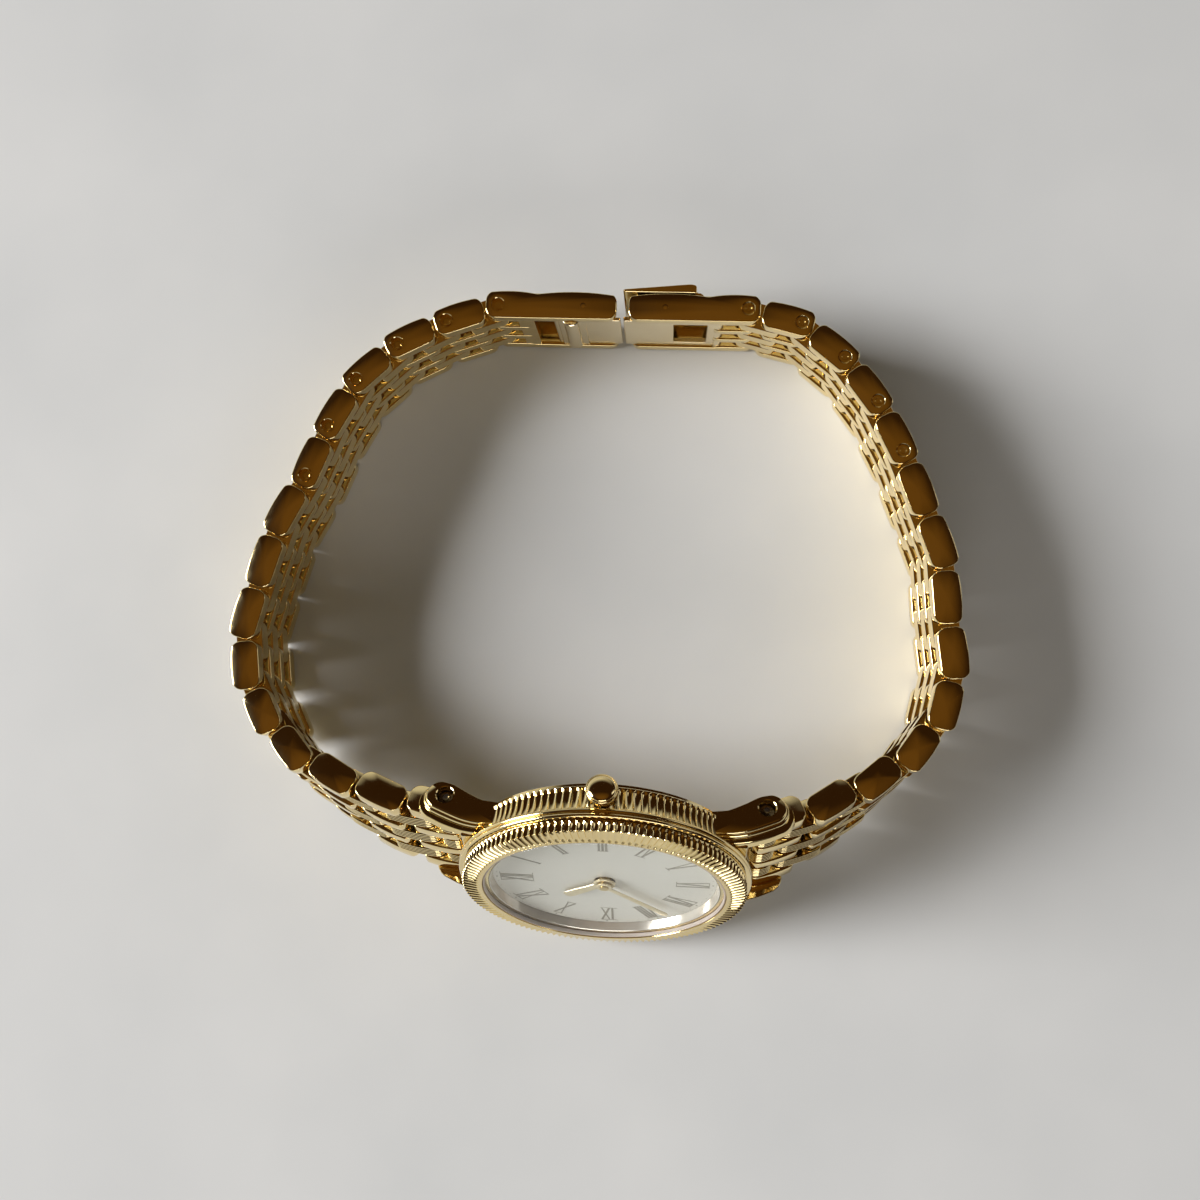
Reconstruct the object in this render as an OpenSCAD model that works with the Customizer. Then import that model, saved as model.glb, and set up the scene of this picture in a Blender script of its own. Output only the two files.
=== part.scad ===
// Round case watch on a closed link bracelet, lying on its side.
// The dial leans back while the bracelet stands on its edge, so the
// links near the head are twisted a little against each other.
// Millimetres, +Z up, the dial looks towards -Y and up.

/* [Case] */
// Radius of the glass over the dial
crystal_radius = 10.9; // [10.6:0.05:11.2]
// Width of the fluted bezel round the glass
bezel_width = 2.1; // [1.9:0.05:2.3]
// Width of the ledge that the glass rests on
glass_seat = 0.3; // [0.25:0.05:0.4]
// Thickness of the wall of the case band
band_wall = 2.0; // [1.9:0.05:2.1]
// Width by which the polished ring stands out beyond the bezel
ring_step = 0.45; // [0.35:0.05:0.5]
// Number of flutes round the bezel
bezel_flutes = 132; // [110:2:140]
// Number of flutes round the case band
band_flutes = 120; // [100:2:130]
// Depth of the flutes
flute_depth = 0.2; // [0.1:0.02:0.28]

/* [Lugs] */
// Distance from the case band to each spring bar
bar_beyond = 1.7; // [1.6:0.05:1.9]
// Clearance between a lug and the first link
lug_play = 0.25; // [0.2:0.05:0.4]
// Thickness of a lug
lug_thickness = 1.74; // [1.5:0.02:1.9]
// Radius of a lug round its hole
lug_tip = 1.25; // [1.15:0.05:1.35]
// Radius of the hole in a lug
lug_hole = 0.78; // [0.7:0.02:0.84]

/* [Bracelet] */
// Distance from one hinge pin to the next
link_pitch = 5.28; // [5.1:0.02:5.5]
// Thickness of a link
link_thickness = 2.7; // [2.5:0.05:2.8]
// Width of the bracelet between the lugs
width_at_head = 11.9; // [11.6:0.05:12.2]
// Width of the bracelet at the clasp
width_at_clasp = 9.9; // [9.4:0.05:10.4]
// Gap between neighbouring columns of a link
side_gap = 0.2; // [0.18:0.01:0.24]
// Gap between the ends of neighbouring links
end_gap = 0.26; // [0.22:0.01:0.36]
// Radius of a hinge pin
pin_radius = 0.34; // [0.28:0.01:0.38]
// Clearance round a turning pin
pin_play = 0.05; // [0.03:0.01:0.08]
// Radius of the open pin holes and pin heads near the clasp
pin_head = 0.6; // [0.5:0.02:0.66]

/* [Clasp] */
// Length from the last hinge to the open end of each clasp half
clasp_length = 11.55; // [11.2:0.05:11.8]
// Middle of the gap between the clasp halves
clasp_middle = -0.3; // [-0.4:0.05:0.1]
// Width of the gap between the clasp halves
clasp_gap = 1.16; // [1.0:0.02:1.4]

/* [Pose] */
// Lean of the head from upright
head_lean = 32.4; // [31:0.2:34]
// Lean that the bracelet settles at
settle_lean = 0.9; // [0.6:0.1:1.1]

/* [Movement] */
// Tooth size of the motion work
tooth_module = 0.16; // [0.155:0.001:0.162]
// Angle of the hour hand, clockwise from twelve
hour_angle = 321; // [0:1:359]
// Angle of the minute hand, clockwise from twelve
minute_angle = 227; // [0:1:359]
// Length of the hour hand from the centre
hour_hand_length = 4.7; // [4.3:0.1:5.2]
// Length of the minute hand from the centre
minute_hand_length = 8.5; // [7.8:0.1:8.8]
// Radius of the battery as a share of the movement's radius
battery_share = 0.3; // [0.27:0.01:0.31]
// Length of the coil
coil_length = 5.2; // [4.6:0.1:5.4]

/* [Hidden] */
gold = [0.83, 0.62, 0.24];
pale_gold = [0.87, 0.71, 0.42];
steel = [0.72, 0.73, 0.74];
brass = [0.75, 0.6, 0.3];
// Radii of the head, from the glass outwards
bezel_radius = crystal_radius + bezel_width;
ring_radius = bezel_radius + ring_step;
bore_radius = crystal_radius - glass_seat;
band_radius = bore_radius + band_wall;
back_radius = band_radius - 1.25;
movement_radius = bore_radius - 0.85;
numeral_reach = bore_radius - 2.5;
bar_reach = band_radius + bar_beyond;
lug_gap = width_at_head + 2 * lug_play;
// Levels of the head, measured out of the dial from the spring bars
back_level = -0.9;
back_inner = -0.3;
back_seat = 0.12;
band_rear = 0.88;
band_front = 3.28;
ring_rear = 3.31;
ring_front = 4.1;
bezel_rear = 4.13;
bezel_shoulder = 5.29;
bezel_front = 5.5;
crystal_under = 5.06;
crystal_top = 5.56;
dial_under = 3.8;
dial_top = 4.15;
hour_hand_level = 4.4;
minute_hand_level = 4.7;
stem_level = 1.95;
crown_radius = 1.38;
crown_base = band_radius + 0.25;
crown_step = ring_radius + 0.15 - crown_base;
stem_radius = 0.34;
tube_radius = 0.87;
arbor_radius = 0.4;
numeral_length = 3;
plate_under = 1.4;
plate_top = 3.7;
bridge_under = -0.16;
bridge_top = 0.1;
recess_floor = 3.02;
// Places of the wheels, the rotor, the coil and the battery
wheel_angle = 250;
wheel_reach = 20 * tooth_module;
third_reach = 2.64;
third_angle = 120;
rotor_reach = 2.4;
rotor_angle = 60;
centre_wheel_radius = third_reach - 0.26;
third_wheel_radius = rotor_reach - 0.27;
coil_place = movement_radius - 3.2;
coil_middle = 0.2;
battery_angle = 250;
battery_radius = battery_share * movement_radius;
battery_reach = movement_radius - battery_radius - 0.5;
clasp_wall = 1.05;
tab_pin = 0.485 * clasp_length;
blade_pin = 0.238 * clasp_length;
cover_pin = 0.407 * clasp_length;
slot_end = link_pitch / 4 + 0.55;

// Middle of the resting watch, so that the origin lies under it
middle = [-1.945, 20.9253, -0.0115];
// Headings of the links, seen from above, from the head to the clasp
left_headings = [11, 24, 30, 49, 62, 83, 104, 106, 117, 111, 118, 136, 152, 160];
right_headings = [22, 35, 41, 55, 77, 98, 95, 111, 112, 117, 127, 141, 166];
quarter = link_pitch / 4;
half_thick = link_thickness / 2;
clasp_depth = 9.632 * link_pitch;
left_end = clasp_middle - clasp_gap / 2 - clasp_length;
right_end = clasp_middle + clasp_gap / 2 + clasp_length;
// Height of the head when the rear edge of its case band rests on the ground
head_height = band_radius * cos(head_lean) - band_rear * sin(head_lean);
// Way over which the bracelet loses the lean of the head
lean_arc = (head_lean - settle_lean) * PI / 180;
lean_drop = head_height - width_at_clasp / 2 - 0.41 - clasp_depth * sin(settle_lean);
lean_reach = lean_drop / (lean_arc / 3 - pow(lean_arc, 3) / 42) - 0.74 * link_pitch;

function lean(e) = settle_lean
  + (head_lean - settle_lean) * pow(max(0, 1 - e / lean_reach), 2);
function along(side, h, t) = [side * cos(h), sin(h) * cos(t), -sin(h) * sin(t)];
function outward(side, h, t) = [side * sin(h), -cos(h) * cos(t), cos(h) * sin(t)];
function upward(t) = [0, sin(t), cos(t)];

// Each entry of a chain holds a hinge point, a heading and a lean
function walk(side, hs, k, p, e) = k == len(hs)
  ? [[p, 180, settle_lean]]
  : concat([[p, hs[k], lean(e)]],
      walk(side, hs, k + 1, p + link_pitch * along(side, hs[k], lean(e)),
        e + link_pitch * sin(hs[k])));
function bent(hs, a, b) = [for (k = [0:len(hs) - 1])
  hs[k] + a * k / (len(hs) - 1) + b * (1 - k / (len(hs) - 1))];
function chain(side, hs) = walk(side, hs, 0, [side * bar_reach, 0, head_height], 0);
function chain_end(side, hs, a, b) = chain(side, bent(hs, a, b))[len(hs)][0];

// Turns the headings a little until both halves meet at the clasp
function closed(side, hs, goal, a, b, n) = n == 0 ? bent(hs, a, b)
  : let (f = chain_end(side, hs, a, b),
      da = (chain_end(side, hs, a + 0.5, b) - f) * 2,
      db = (chain_end(side, hs, a, b + 0.5) - f) * 2,
      rx = goal[0] - f[0],
      ry = goal[1] - f[1],
      det = da[0] * db[1] - db[0] * da[1])
    closed(side, hs, goal, a + (rx * db[1] - db[0] * ry) / det,
      b + (da[0] * ry - rx * da[1]) / det, n - 1);

left_chain = chain(-1, closed(-1, left_headings, [left_end, clasp_depth], 0, 0, 5));
right_chain = chain(1, closed(1, right_headings, [right_end, clasp_depth], 0, 0, 5));
function links(side) = side < 0 ? left_chain : right_chain;

// Width, column and play of link k
function half_width(side, k) = (width_at_head
  + (width_at_clasp - width_at_head) * k / (len(links(side)) - 1)) / 2;
function unit(side, k) = (half_width(side, k) - 3 * side_gap) / 5.39;
function fluted_centre(side, k) = 2.94 * unit(side, k) + 2 * side_gap;
function plain_centre(side, k) = 1.47 * unit(side, k) + side_gap;
function skew(side, k) = k < 0 || k + 1 >= len(links(side)) ? [0, 0]
  : let (c = links(side)[k], d = links(side)[k + 1], z = upward(d[2]),
      m = upward(c[2]), g = outward(side, c[1], c[2]), v = along(side, d[1], d[2]))
    [abs(z * g), max(abs(z * along(side, c[1], c[2])), abs(m * v))];
function trim_at(side, k) = skew(side, k)[1] / 2;

// Frame of link k: x along the bracelet, y across it, z out of the loop
module link_frame(side, k) {
  c = links(side)[k];
  u = along(side, c[1], c[2]);
  n = outward(side, c[1], c[2]);
  z = side * upward(c[2]);
  translate(-middle)
    multmatrix([[u[0], z[0], n[0], c[0][0]],
      [u[1], z[1], n[1], c[0][1]],
      [u[2], z[2], n[2], c[0][2]]])
      children();
}

// Undoes the frame of link k, to bring a neighbour's pin into it
module link_unframe(side, k) {
  c = links(side)[k];
  u = along(side, c[1], c[2]);
  n = outward(side, c[1], c[2]);
  z = side * upward(c[2]);
  p = c[0] - middle;
  multmatrix([[u[0], u[1], u[2], -(u * p)],
    [z[0], z[1], z[2], -(z * p)],
    [n[0], n[1], n[2], -(n * p)]])
    children();
}

// Frame of the head: x to six, y to three, z out of the dial
module head_frame() {
  translate([0, 0, head_height] - middle)
    rotate([90 - head_lean, 0, 0])
      children();
}

// Upright rod along y between two points
module cross_rod(r, y0, y1, n = 40) {
  translate([0, y1, 0])
    rotate([90, 0, 0])
      cylinder(r = r, h = y1 - y0, $fn = n);
}

// Side outline of a link piece from x0 to x1, straight inside, crowned outside
module pill(x0, x1, t, r) {
  intersection() {
    union() {
      translate([x0 + r, -t])
        square([x1 - x0 - 2 * r, 2 * t]);
      translate([x0, -t + r])
        square([x1 - x0, 2 * t - 2 * r]);
      for (x = [x0 + r, x1 - r])
        for (z = [-t + r, t - r])
          translate([x, z])
            circle(r = r, $fn = 40);
    }
    translate([(x0 + x1) / 2, t - 3.1 * (x1 - x0)])
      circle(r = 3.1 * (x1 - x0), $fn = 120);
  }
}

// One column of a link between two points across it
module column(x0, x1, t, y0, y1) {
  translate([0, y1, 0])
    rotate([90, 0, 0])
      linear_extrude(y1 - y0)
        pill(x0, x1, t, 0.36 * link_thickness);
}

// Plain outer and inner pieces with their two pin bores
module plain_pieces(side, k) {
  w = half_width(side, k);
  a = unit(side, k);
  x0 = -quarter + end_gap / 2;
  x1 = 3 * quarter - end_gap / 2;
  in_w = w - 1.55 * a;
  for (s = [-1, 1])
    difference() {
      column(x0 + w * trim_at(side, k - 1), x1 - w * trim_at(side, k), half_thick,
        s < 0 ? -w : in_w, s < 0 ? -in_w : w);
      cross_rod(pin_radius + 0.02, -(w - 0.4), w - 0.4);
      translate([2 * quarter, 0, 0])
        cross_rod(pin_radius + 0.02, -(w - 0.4), w - 0.4);
      // The pin ends show on the crown side near the clasp
      if (k >= 9 && s * side > 0)
        cross_rod(pin_head + 0.03, s > 0 ? w - 0.9 : -w - 1, s > 0 ? w + 1 : -w + 0.9);
    }
  for (s = [-1, 1]) {
    yc = s * plain_centre(side, k);
    sw = plain_centre(side, k);
    difference() {
      column(x0 + sw * trim_at(side, k - 1), x1 - sw * trim_at(side, k), half_thick,
        yc - 0.57 * a, yc + 0.57 * a);
      cross_rod(pin_radius + 0.02, yc - a, yc + a);
      translate([2 * quarter, 0, 0])
        cross_rod(pin_radius + 0.02, yc - a, yc + a);
    }
  }
}

// Fluted pieces, half a pitch further on, which carry the next link's pin
module fluted_pieces(side, k, x_start) {
  a = unit(side, k + 0.5);
  q = skew(side, k);
  slim = max(0, half_thick * q[0] + quarter * q[1] - 0.1);
  t = half_thick - 0.06;
  for (s = [-1, 0, 1]) {
    yc = s * fluted_centre(side, k + 0.5);
    far = abs(yc) + 0.9 * a;
    difference() {
      column(x_start + far * trim_at(side, k - 1), 5 * quarter - end_gap / 2
        - far * trim_at(side, k), t, yc - 0.9 * a + slim, yc + 0.9 * a - slim);
      translate([2 * quarter, 0, 0])
        cross_rod(pin_radius + 0.02, yc - a, yc + a);
      link_unframe(side, k)
        link_frame(side, k + 1)
          cross_rod(pin_radius + pin_play, yc - 1.6, yc + 1.6);
    }
  }
}

// The hinge pin and the fixed pin of a link
module link_pins(side, k) {
  w = half_width(side, k);
  cross_rod(pin_radius, -(w - 0.42), w - 0.42);
  translate([2 * quarter, 0, 0])
    cross_rod(pin_radius, -(w - 0.42), w - 0.42);
  if (k >= 9 && side > 0)
    cross_rod(pin_head, w - 0.88, w - 0.08);
}

module chain_link(side, k) {
  color(gold)
    link_frame(side, k) {
      plain_pieces(side, k);
      fluted_pieces(side, k, quarter + end_gap / 2);
      link_pins(side, k);
    }
}

// The first link, a solid block round the spring bar between the lugs
module end_link(side) {
  w = half_width(side, 0);
  a = unit(side, 0);
  x1 = 3 * quarter - end_gap / 2;
  color(gold)
    link_frame(side, 0) {
      difference() {
        union() {
          cross_rod(half_thick + 0.01, -w, w, 60);
          for (s = [-1, 1]) {
            y_out = s < 0 ? -w : w - 1.55 * a;
            yc = s * plain_centre(side, 0);
            column(-1.2, x1 - w * trim_at(side, 0), half_thick, y_out, y_out + 1.55 * a);
            column(-1.2, x1 - plain_centre(side, 0) * trim_at(side, 0), half_thick,
              yc - 0.57 * a, yc + 0.57 * a);
          }
          // Near halves of the fluted columns, which run in to the case
          for (s = [-1, 0, 1]) {
            yc = s * fluted_centre(side, 0);
            column(-1.3, quarter - 0.1, half_thick - 0.06, yc - 0.9 * a, yc + 0.9 * a);
          }
          translate([0, -w + 0.2, -1.1])
            cube([quarter, 2 * w - 0.4, 2.2]);
        }
        cross_rod(lug_hole + 0.02, -w - 1, w + 1);
        translate([2 * quarter, 0, 0])
          cross_rod(pin_radius + 0.02, -(w - 0.4), w - 0.4);
      }
      fluted_pieces(side, 0, quarter + 0.05);
      translate([2 * quarter, 0, 0])
        cross_rod(pin_radius, -(w - 0.42), w - 0.42);
    }
}

// Ring with vertical flutes cut as straight facets
module fluted_disc(r, count, depth) {
  polygon([for (i = [0:2 * count - 1])
    let (q = i % 2 == 0 ? r : r - depth, t = 180 * i / count)
      [q * cos(t), q * sin(t)]]);
}

module ring(r_out, r_in, z0, z1, n = 120) {
  translate([0, 0, z0])
    difference() {
      cylinder(r = r_out, h = z1 - z0, $fn = n);
      translate([0, 0, -1])
        cylinder(r = r_in, h = z1 - z0 + 2, $fn = n);
    }
}

// Side outline of the outer leaf of a lug, from the spring bar to the case
module lug_outline() {
  root = -bar_beyond - 3.9;
  translate([0.35, 0])
    circle(r = lug_tip, $fn = 48);
  polygon([[root, band_rear - 0.3], [-3.6, band_rear - 0.42], [-2.25, -0.15], [-0.9, -0.93],
    [0.3, -lug_tip], [0.35, lug_tip], [-0.35, lug_tip + 0.4], [-1.1, lug_tip + 0.72],
    [-1.85, lug_tip + 0.98], [-2.8, lug_tip + 1.2], [root, lug_tip + 1.28]]);
}

// Side outline of the inner leaf, which stands out further forward
module lug_ridge_outline() {
  root = -bar_beyond - 3.9;
  translate([0.85, 0.35])
    circle(r = lug_tip + 0.45, $fn = 48);
  polygon([[root, band_rear - 0.3], [-3.6, band_rear - 0.42], [-2.25, -0.15], [-0.9, -0.93],
    [0.5, -lug_tip - 0.06], [1.2, lug_tip + 0.76], [-0.35, lug_tip + 1.45],
    [-1.85, band_front - 0.15], [root, band_front]]);
}

module lugs() {
  step = lug_thickness * 0.36;
  for (s = [-1, 1])
    for (t = [-1, 1])
      translate([s * bar_reach, t * (lug_gap + lug_thickness) / 2, 0])
        scale([s, t, 1])
          rotate([90, 0, 0]) {
            translate([0, 0, -lug_thickness / 2])
              linear_extrude(step)
                lug_outline();
            translate([0, 0, step - lug_thickness / 2 - 0.01])
              linear_extrude(lug_thickness - step + 0.01)
                lug_ridge_outline();
          }
}

module case_middle() {
  color(gold)
    head_frame()
      difference() {
        union() {
          translate([0, 0, band_rear])
            linear_extrude(band_front - band_rear)
              fluted_disc(band_radius, band_flutes, flute_depth);
          // Smooth rim behind the flutes and the cone down to the case back
          rotate_extrude($fn = 160)
            polygon([[bore_radius - 0.1, back_seat + 0.06], [back_radius + 0.1, back_seat + 0.06],
              [band_radius - 0.3, band_rear - 0.4], [band_radius - 0.3, band_rear + 0.1],
              [bore_radius - 0.1, band_rear + 0.1]]);
          lugs();
          // Straight walls between the lugs, behind the end links
          intersection() {
            translate([0, 0, band_rear])
              cylinder(r = band_radius + 1.2, h = band_front - band_rear, $fn = 160);
            translate([-band_radius - 0.05, -lug_gap / 2 - 0.5, band_rear])
              cube([2 * band_radius + 0.1, lug_gap + 1, band_front - band_rear]);
          }
        }
        translate([0, 0, back_level - 1])
          cylinder(r = bore_radius, h = band_front - back_level + 2, $fn = 160);
        // Room for the ends of the first links
        for (s = [-1, 1])
          translate([s * bar_reach, 0, 0]) {
            cross_rod(half_thick + 0.15, -lug_gap / 2, lug_gap / 2, 60);
            cross_rod(lug_hole, -lug_gap, lug_gap);
          }
        translate([0, 0, stem_level])
          cross_rod(tube_radius + 0.03, bore_radius - 1, band_radius + 1.5);
      }
}

// Two soft mouldings, one above the other, round the case
module polished_ring() {
  color(gold)
    head_frame()
      rotate_extrude($fn = 160)
        polygon([[bore_radius, ring_rear], [ring_radius - 0.22, ring_rear],
          [ring_radius - 0.07, ring_rear + 0.05], [ring_radius, ring_rear + 0.18],
          [ring_radius - 0.03, ring_rear + 0.32], [ring_radius - 0.13, ring_rear + 0.4],
          [ring_radius - 0.05, ring_rear + 0.48], [ring_radius - 0.02, ring_front - 0.2],
          [ring_radius - 0.08, ring_front - 0.08], [ring_radius - 0.24, ring_front],
          [bore_radius, ring_front]]);
}

module fluted_bezel() {
  color(gold)
    head_frame()
      difference() {
        union() {
          translate([0, 0, bezel_rear])
            linear_extrude(bezel_shoulder - bezel_rear)
              fluted_disc(bezel_radius, bezel_flutes, flute_depth);
          translate([0, 0, bezel_shoulder])
            cylinder(r1 = bezel_radius - flute_depth - 0.05, r2 = crystal_radius + 0.35,
              h = bezel_front - bezel_shoulder, $fn = 160);
        }
        translate([0, 0, crystal_under - 0.06])
          cylinder(r = crystal_radius + 0.22, h = 3, $fn = 120);
        translate([0, 0, bezel_rear - 1])
          cylinder(r = bore_radius, h = 4, $fn = 120);
      }
}

module crystal() {
  color([0.9, 0.95, 1, 0.35])
    head_frame() {
      translate([0, 0, crystal_under])
        cylinder(r = crystal_radius, h = crystal_top - crystal_under - 0.15, $fn = 120);
      translate([0, 0, crystal_top - 0.15])
        cylinder(r1 = crystal_radius, r2 = crystal_radius - 0.2, h = 0.15, $fn = 120);
    }
}

module crystal_gasket() {
  color([0.9, 0.88, 0.84])
    head_frame()
      ring(crystal_radius + 0.19, crystal_radius + 0.03, crystal_under, bezel_front - 0.1);
}

module rehaut() {
  color(steel)
    head_frame()
      difference() {
        translate([0, 0, dial_top + 0.03])
          cylinder(r = bore_radius - 0.05, h = crystal_under - dial_top - 0.1, $fn = 120);
        translate([0, 0, dial_top])
          cylinder(r1 = bore_radius - 0.35, r2 = bore_radius - 0.1,
            h = crystal_under - dial_top, $fn = 120);
      }
}

module dial() {
  color([0.94, 0.94, 0.93])
    head_frame()
      ring(bore_radius - 0.05, 0.95, dial_under, dial_top);
}

// Bars of one Roman numeral, given as tilt and place across the numeral
module numeral(bars) {
  for (b = bars)
    translate([b[1], 0])
      rotate(b[0])
        square([0.14, numeral_length], center = true);
}

// The twelve numerals, drawn from plain bars as applied pieces
module hour_marks() {
  one = [[0, 0]];
  two = [[0, -0.17], [0, 0.17]];
  three = [[0, -0.32], [0, 0], [0, 0.32]];
  four = [[0, -0.5], [7, -0.08], [-7, 0.28]];
  five = [[7, -0.18], [-7, 0.18]];
  six = [[7, -0.33], [-7, 0.03], [0, 0.5]];
  seven = [[7, -0.5], [-7, -0.14], [0, 0.3], [0, 0.6]];
  eight = [[7, -0.65], [-7, -0.29], [0, 0.12], [0, 0.42], [0, 0.72]];
  nine = [[0, -0.55], [14, 0.1], [-14, 0.1]];
  ten = [[14, 0], [-14, 0]];
  eleven = [[14, -0.2], [-14, -0.2], [0, 0.5]];
  twelve = [[14, -0.35], [-14, -0.35], [0, 0.3], [0, 0.6]];
  all = [one, two, three, four, five, six, seven, eight, nine, ten, eleven, twelve];
  color([0.55, 0.5, 0.4])
    head_frame()
      translate([0, 0, dial_top + 0.005])
        for (h = [1:12])
          rotate(180 - 30 * h)
            translate([numeral_reach, 0, 0])
              rotate(-90)
                linear_extrude(0.02)
                  numeral(all[h - 1]);
}

// Turns a hand so that it points to an angle clockwise from twelve
module at_angle(a) {
  rotate(180 - a)
    children();
}

module hour_hand() {
  color(pale_gold)
    head_frame()
      translate([0, 0, hour_hand_level])
        at_angle(hour_angle)
          difference() {
            union() {
              cylinder(r = 1.1, h = 0.16, $fn = 48);
              translate([0, 0, 0.02])
                linear_extrude(0.12)
                  polygon([[-1.7, -0.2], [-1.7, 0.2], [1, 0.32],
                    [hour_hand_length - 0.6, 0.42], [hour_hand_length, 0],
                    [hour_hand_length - 0.6, -0.42], [1, -0.32]]);
            }
            translate([0, 0, -1])
              cylinder(r = 0.72, h = 3, $fn = 40);
          }
}

module minute_hand() {
  color(pale_gold)
    head_frame()
      translate([0, 0, minute_hand_level])
        at_angle(minute_angle)
          difference() {
            union() {
              cylinder(r = 0.8, h = 0.16, $fn = 40);
              translate([0, 0, 0.02])
                linear_extrude(0.12)
                  polygon([[-2.1, -0.14], [-2.1, 0.14], [1, 0.22],
                    [minute_hand_length - 0.7, 0.26], [minute_hand_length, 0],
                    [minute_hand_length - 0.7, -0.26], [1, -0.22]]);
            }
            translate([0, 0, -1])
              cylinder(r = arbor_radius + 0.02, h = 3, $fn = 40);
          }
}

// Toothed wheel with straight-sided teeth and plenty of backlash
module toothed(count, turn) {
  r = count * tooth_module / 2;
  tip = r + 0.72 * tooth_module;
  root = r - 0.95 * tooth_module;
  pitch_angle = 360 / count;
  polygon([for (i = [0:count - 1])
    for (j = [[-0.24, 0], [-0.11, 1], [0.11, 1], [0.24, 0]])
      let (q = j[1] == 1 ? tip : root, t = turn + (i + j[0]) * pitch_angle)
        [q * cos(t), q * sin(t)]]);
}

// The centre arbor with its wheel and the cannon pinion
module centre_wheel() {
  color(brass)
    head_frame()
      union() {
        translate([0, 0, bridge_under + 0.06])
          cylinder(r = arbor_radius, h = minute_hand_level + 0.18 - bridge_under, $fn = 40);
        translate([0, 0, plate_under - 0.6])
          cylinder(r = centre_wheel_radius, h = 0.2, $fn = 80);
        translate([0, 0, recess_floor + 0.08])
          linear_extrude(0.28)
            toothed(10, wheel_angle);
      }
}

module hour_wheel() {
  color(brass)
    head_frame()
      translate([0, 0, plate_top - 0.26])
        difference() {
          union() {
            linear_extrude(0.26)
              toothed(32, wheel_angle);
            cylinder(r = 0.7, h = hour_hand_level + 0.38 - plate_top, $fn = 40);
          }
          translate([0, 0, -1])
            cylinder(r = arbor_radius + 0.06, h = 4, $fn = 40);
        }
}

module minute_wheel() {
  color(brass)
    head_frame()
      translate([wheel_reach * cos(wheel_angle), wheel_reach * sin(wheel_angle),
        recess_floor + 0.1])
        difference() {
          union() {
            linear_extrude(0.24)
              toothed(30, wheel_angle + 180 + 6);
            translate([0, 0, 0.24])
              linear_extrude(0.34)
                toothed(8, wheel_angle + 180 + 22.5);
          }
          translate([0, 0, -1])
            cylinder(r = 0.26, h = 3, $fn = 32);
        }
}

module at_third() {
  translate([third_reach * cos(third_angle), third_reach * sin(third_angle), 0])
    children();
}

module at_rotor() {
  at_third()
    translate([rotor_reach * cos(rotor_angle), rotor_reach * sin(rotor_angle), 0])
      children();
}

// Arbor between the bridge and the plate
module arbor(r) {
  translate([0, 0, bridge_under + 0.02])
    cylinder(r = r, h = plate_under - bridge_under + 0.14, $fn = 24);
}

// Hole for an arbor, blind in the plate and through the bridge
module arbor_hole(r) {
  translate([0, 0, bridge_under - 1])
    cylinder(r = r, h = plate_under - bridge_under + 1.2, $fn = 24);
}

module third_wheel() {
  color(brass)
    head_frame()
      at_third() {
        arbor(0.12);
        translate([0, 0, plate_under - 0.68])
          cylinder(r = 0.21, h = 0.34, $fn = 32);
        translate([0, 0, bridge_top + 0.1])
          cylinder(r = third_wheel_radius, h = 0.16, $fn = 80);
      }
}

module rotor() {
  color(steel)
    head_frame()
      at_rotor() {
        arbor(0.1);
        translate([0, 0, bridge_top + 0.02])
          cylinder(r = 0.2, h = 0.5, $fn = 32);
        translate([0, 0, plate_under - 0.54])
          cylinder(r = 0.6, h = 0.5, $fn = 48);
      }
}

module mainplate() {
  color(brass)
    head_frame()
      difference() {
        translate([0, 0, plate_under])
          cylinder(r = movement_radius, h = plate_top - plate_under, $fn = 120);
        // Recess of the motion work, with the post of the minute wheel left standing
        difference() {
          translate([0, 0, recess_floor])
            union() {
              cylinder(r = 3.0, h = 2, $fn = 80);
              translate([wheel_reach * cos(wheel_angle), wheel_reach * sin(wheel_angle), 0])
                cylinder(r = 2.8, h = 2, $fn = 80);
            }
          translate([wheel_reach * cos(wheel_angle), wheel_reach * sin(wheel_angle), 0])
            cylinder(r = 0.22, h = plate_top - 0.05, $fn = 32);
        }
        translate([0, 0, plate_under - 1])
          cylinder(r = arbor_radius + 0.04, h = plate_top - plate_under + 2, $fn = 40);
        at_third()
          arbor_hole(0.15);
        at_rotor()
          arbor_hole(0.13);
        translate([0, 0, stem_level])
          cross_rod(stem_radius + 0.06, movement_radius / 2, movement_radius + 2);
      }
}

module train_bridge() {
  color(steel)
    head_frame()
      difference() {
        union() {
          translate([0, 0, bridge_under])
            intersection() {
              cylinder(r = movement_radius - 0.6, h = bridge_top - bridge_under, $fn = 120);
              translate([-movement_radius, -1.6, -1])
                cube([movement_radius + 2.5, 2 * movement_radius, 3]);
            }
          for (a = [178, 133, 80])
            rotate(a)
              translate([movement_radius - 1.3, 0, bridge_under + 0.1])
                cylinder(r = 0.6, h = plate_under - bridge_under - 0.12, $fn = 32);
        }
        translate([0, 0, bridge_under - 1])
          cylinder(r = arbor_radius + 0.04, h = 2, $fn = 40);
        at_third()
          arbor_hole(0.15);
        at_rotor()
          arbor_hole(0.13);
      }
}

// Laminated core with the round rotor hole, reaching over to the coil
module stator() {
  hole = [third_reach * cos(third_angle) + rotor_reach * cos(rotor_angle),
    third_reach * sin(third_angle) + rotor_reach * sin(rotor_angle)];
  color(steel)
    head_frame()
      translate([0, 0, plate_under - 0.26])
        linear_extrude(0.22)
          difference() {
            union() {
              translate(hole)
                circle(r = 1.3, $fn = 48);
              translate([hole[0], 3.7])
                square([coil_place + 0.6 - hole[0], 1.3]);
              translate([coil_place - 0.6, coil_middle - coil_length / 2 - 0.2])
                square([1.2, 5.2 - coil_middle + coil_length / 2]);
            }
            translate(hole)
              circle(r = 0.72, $fn = 48);
          }
}

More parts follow.
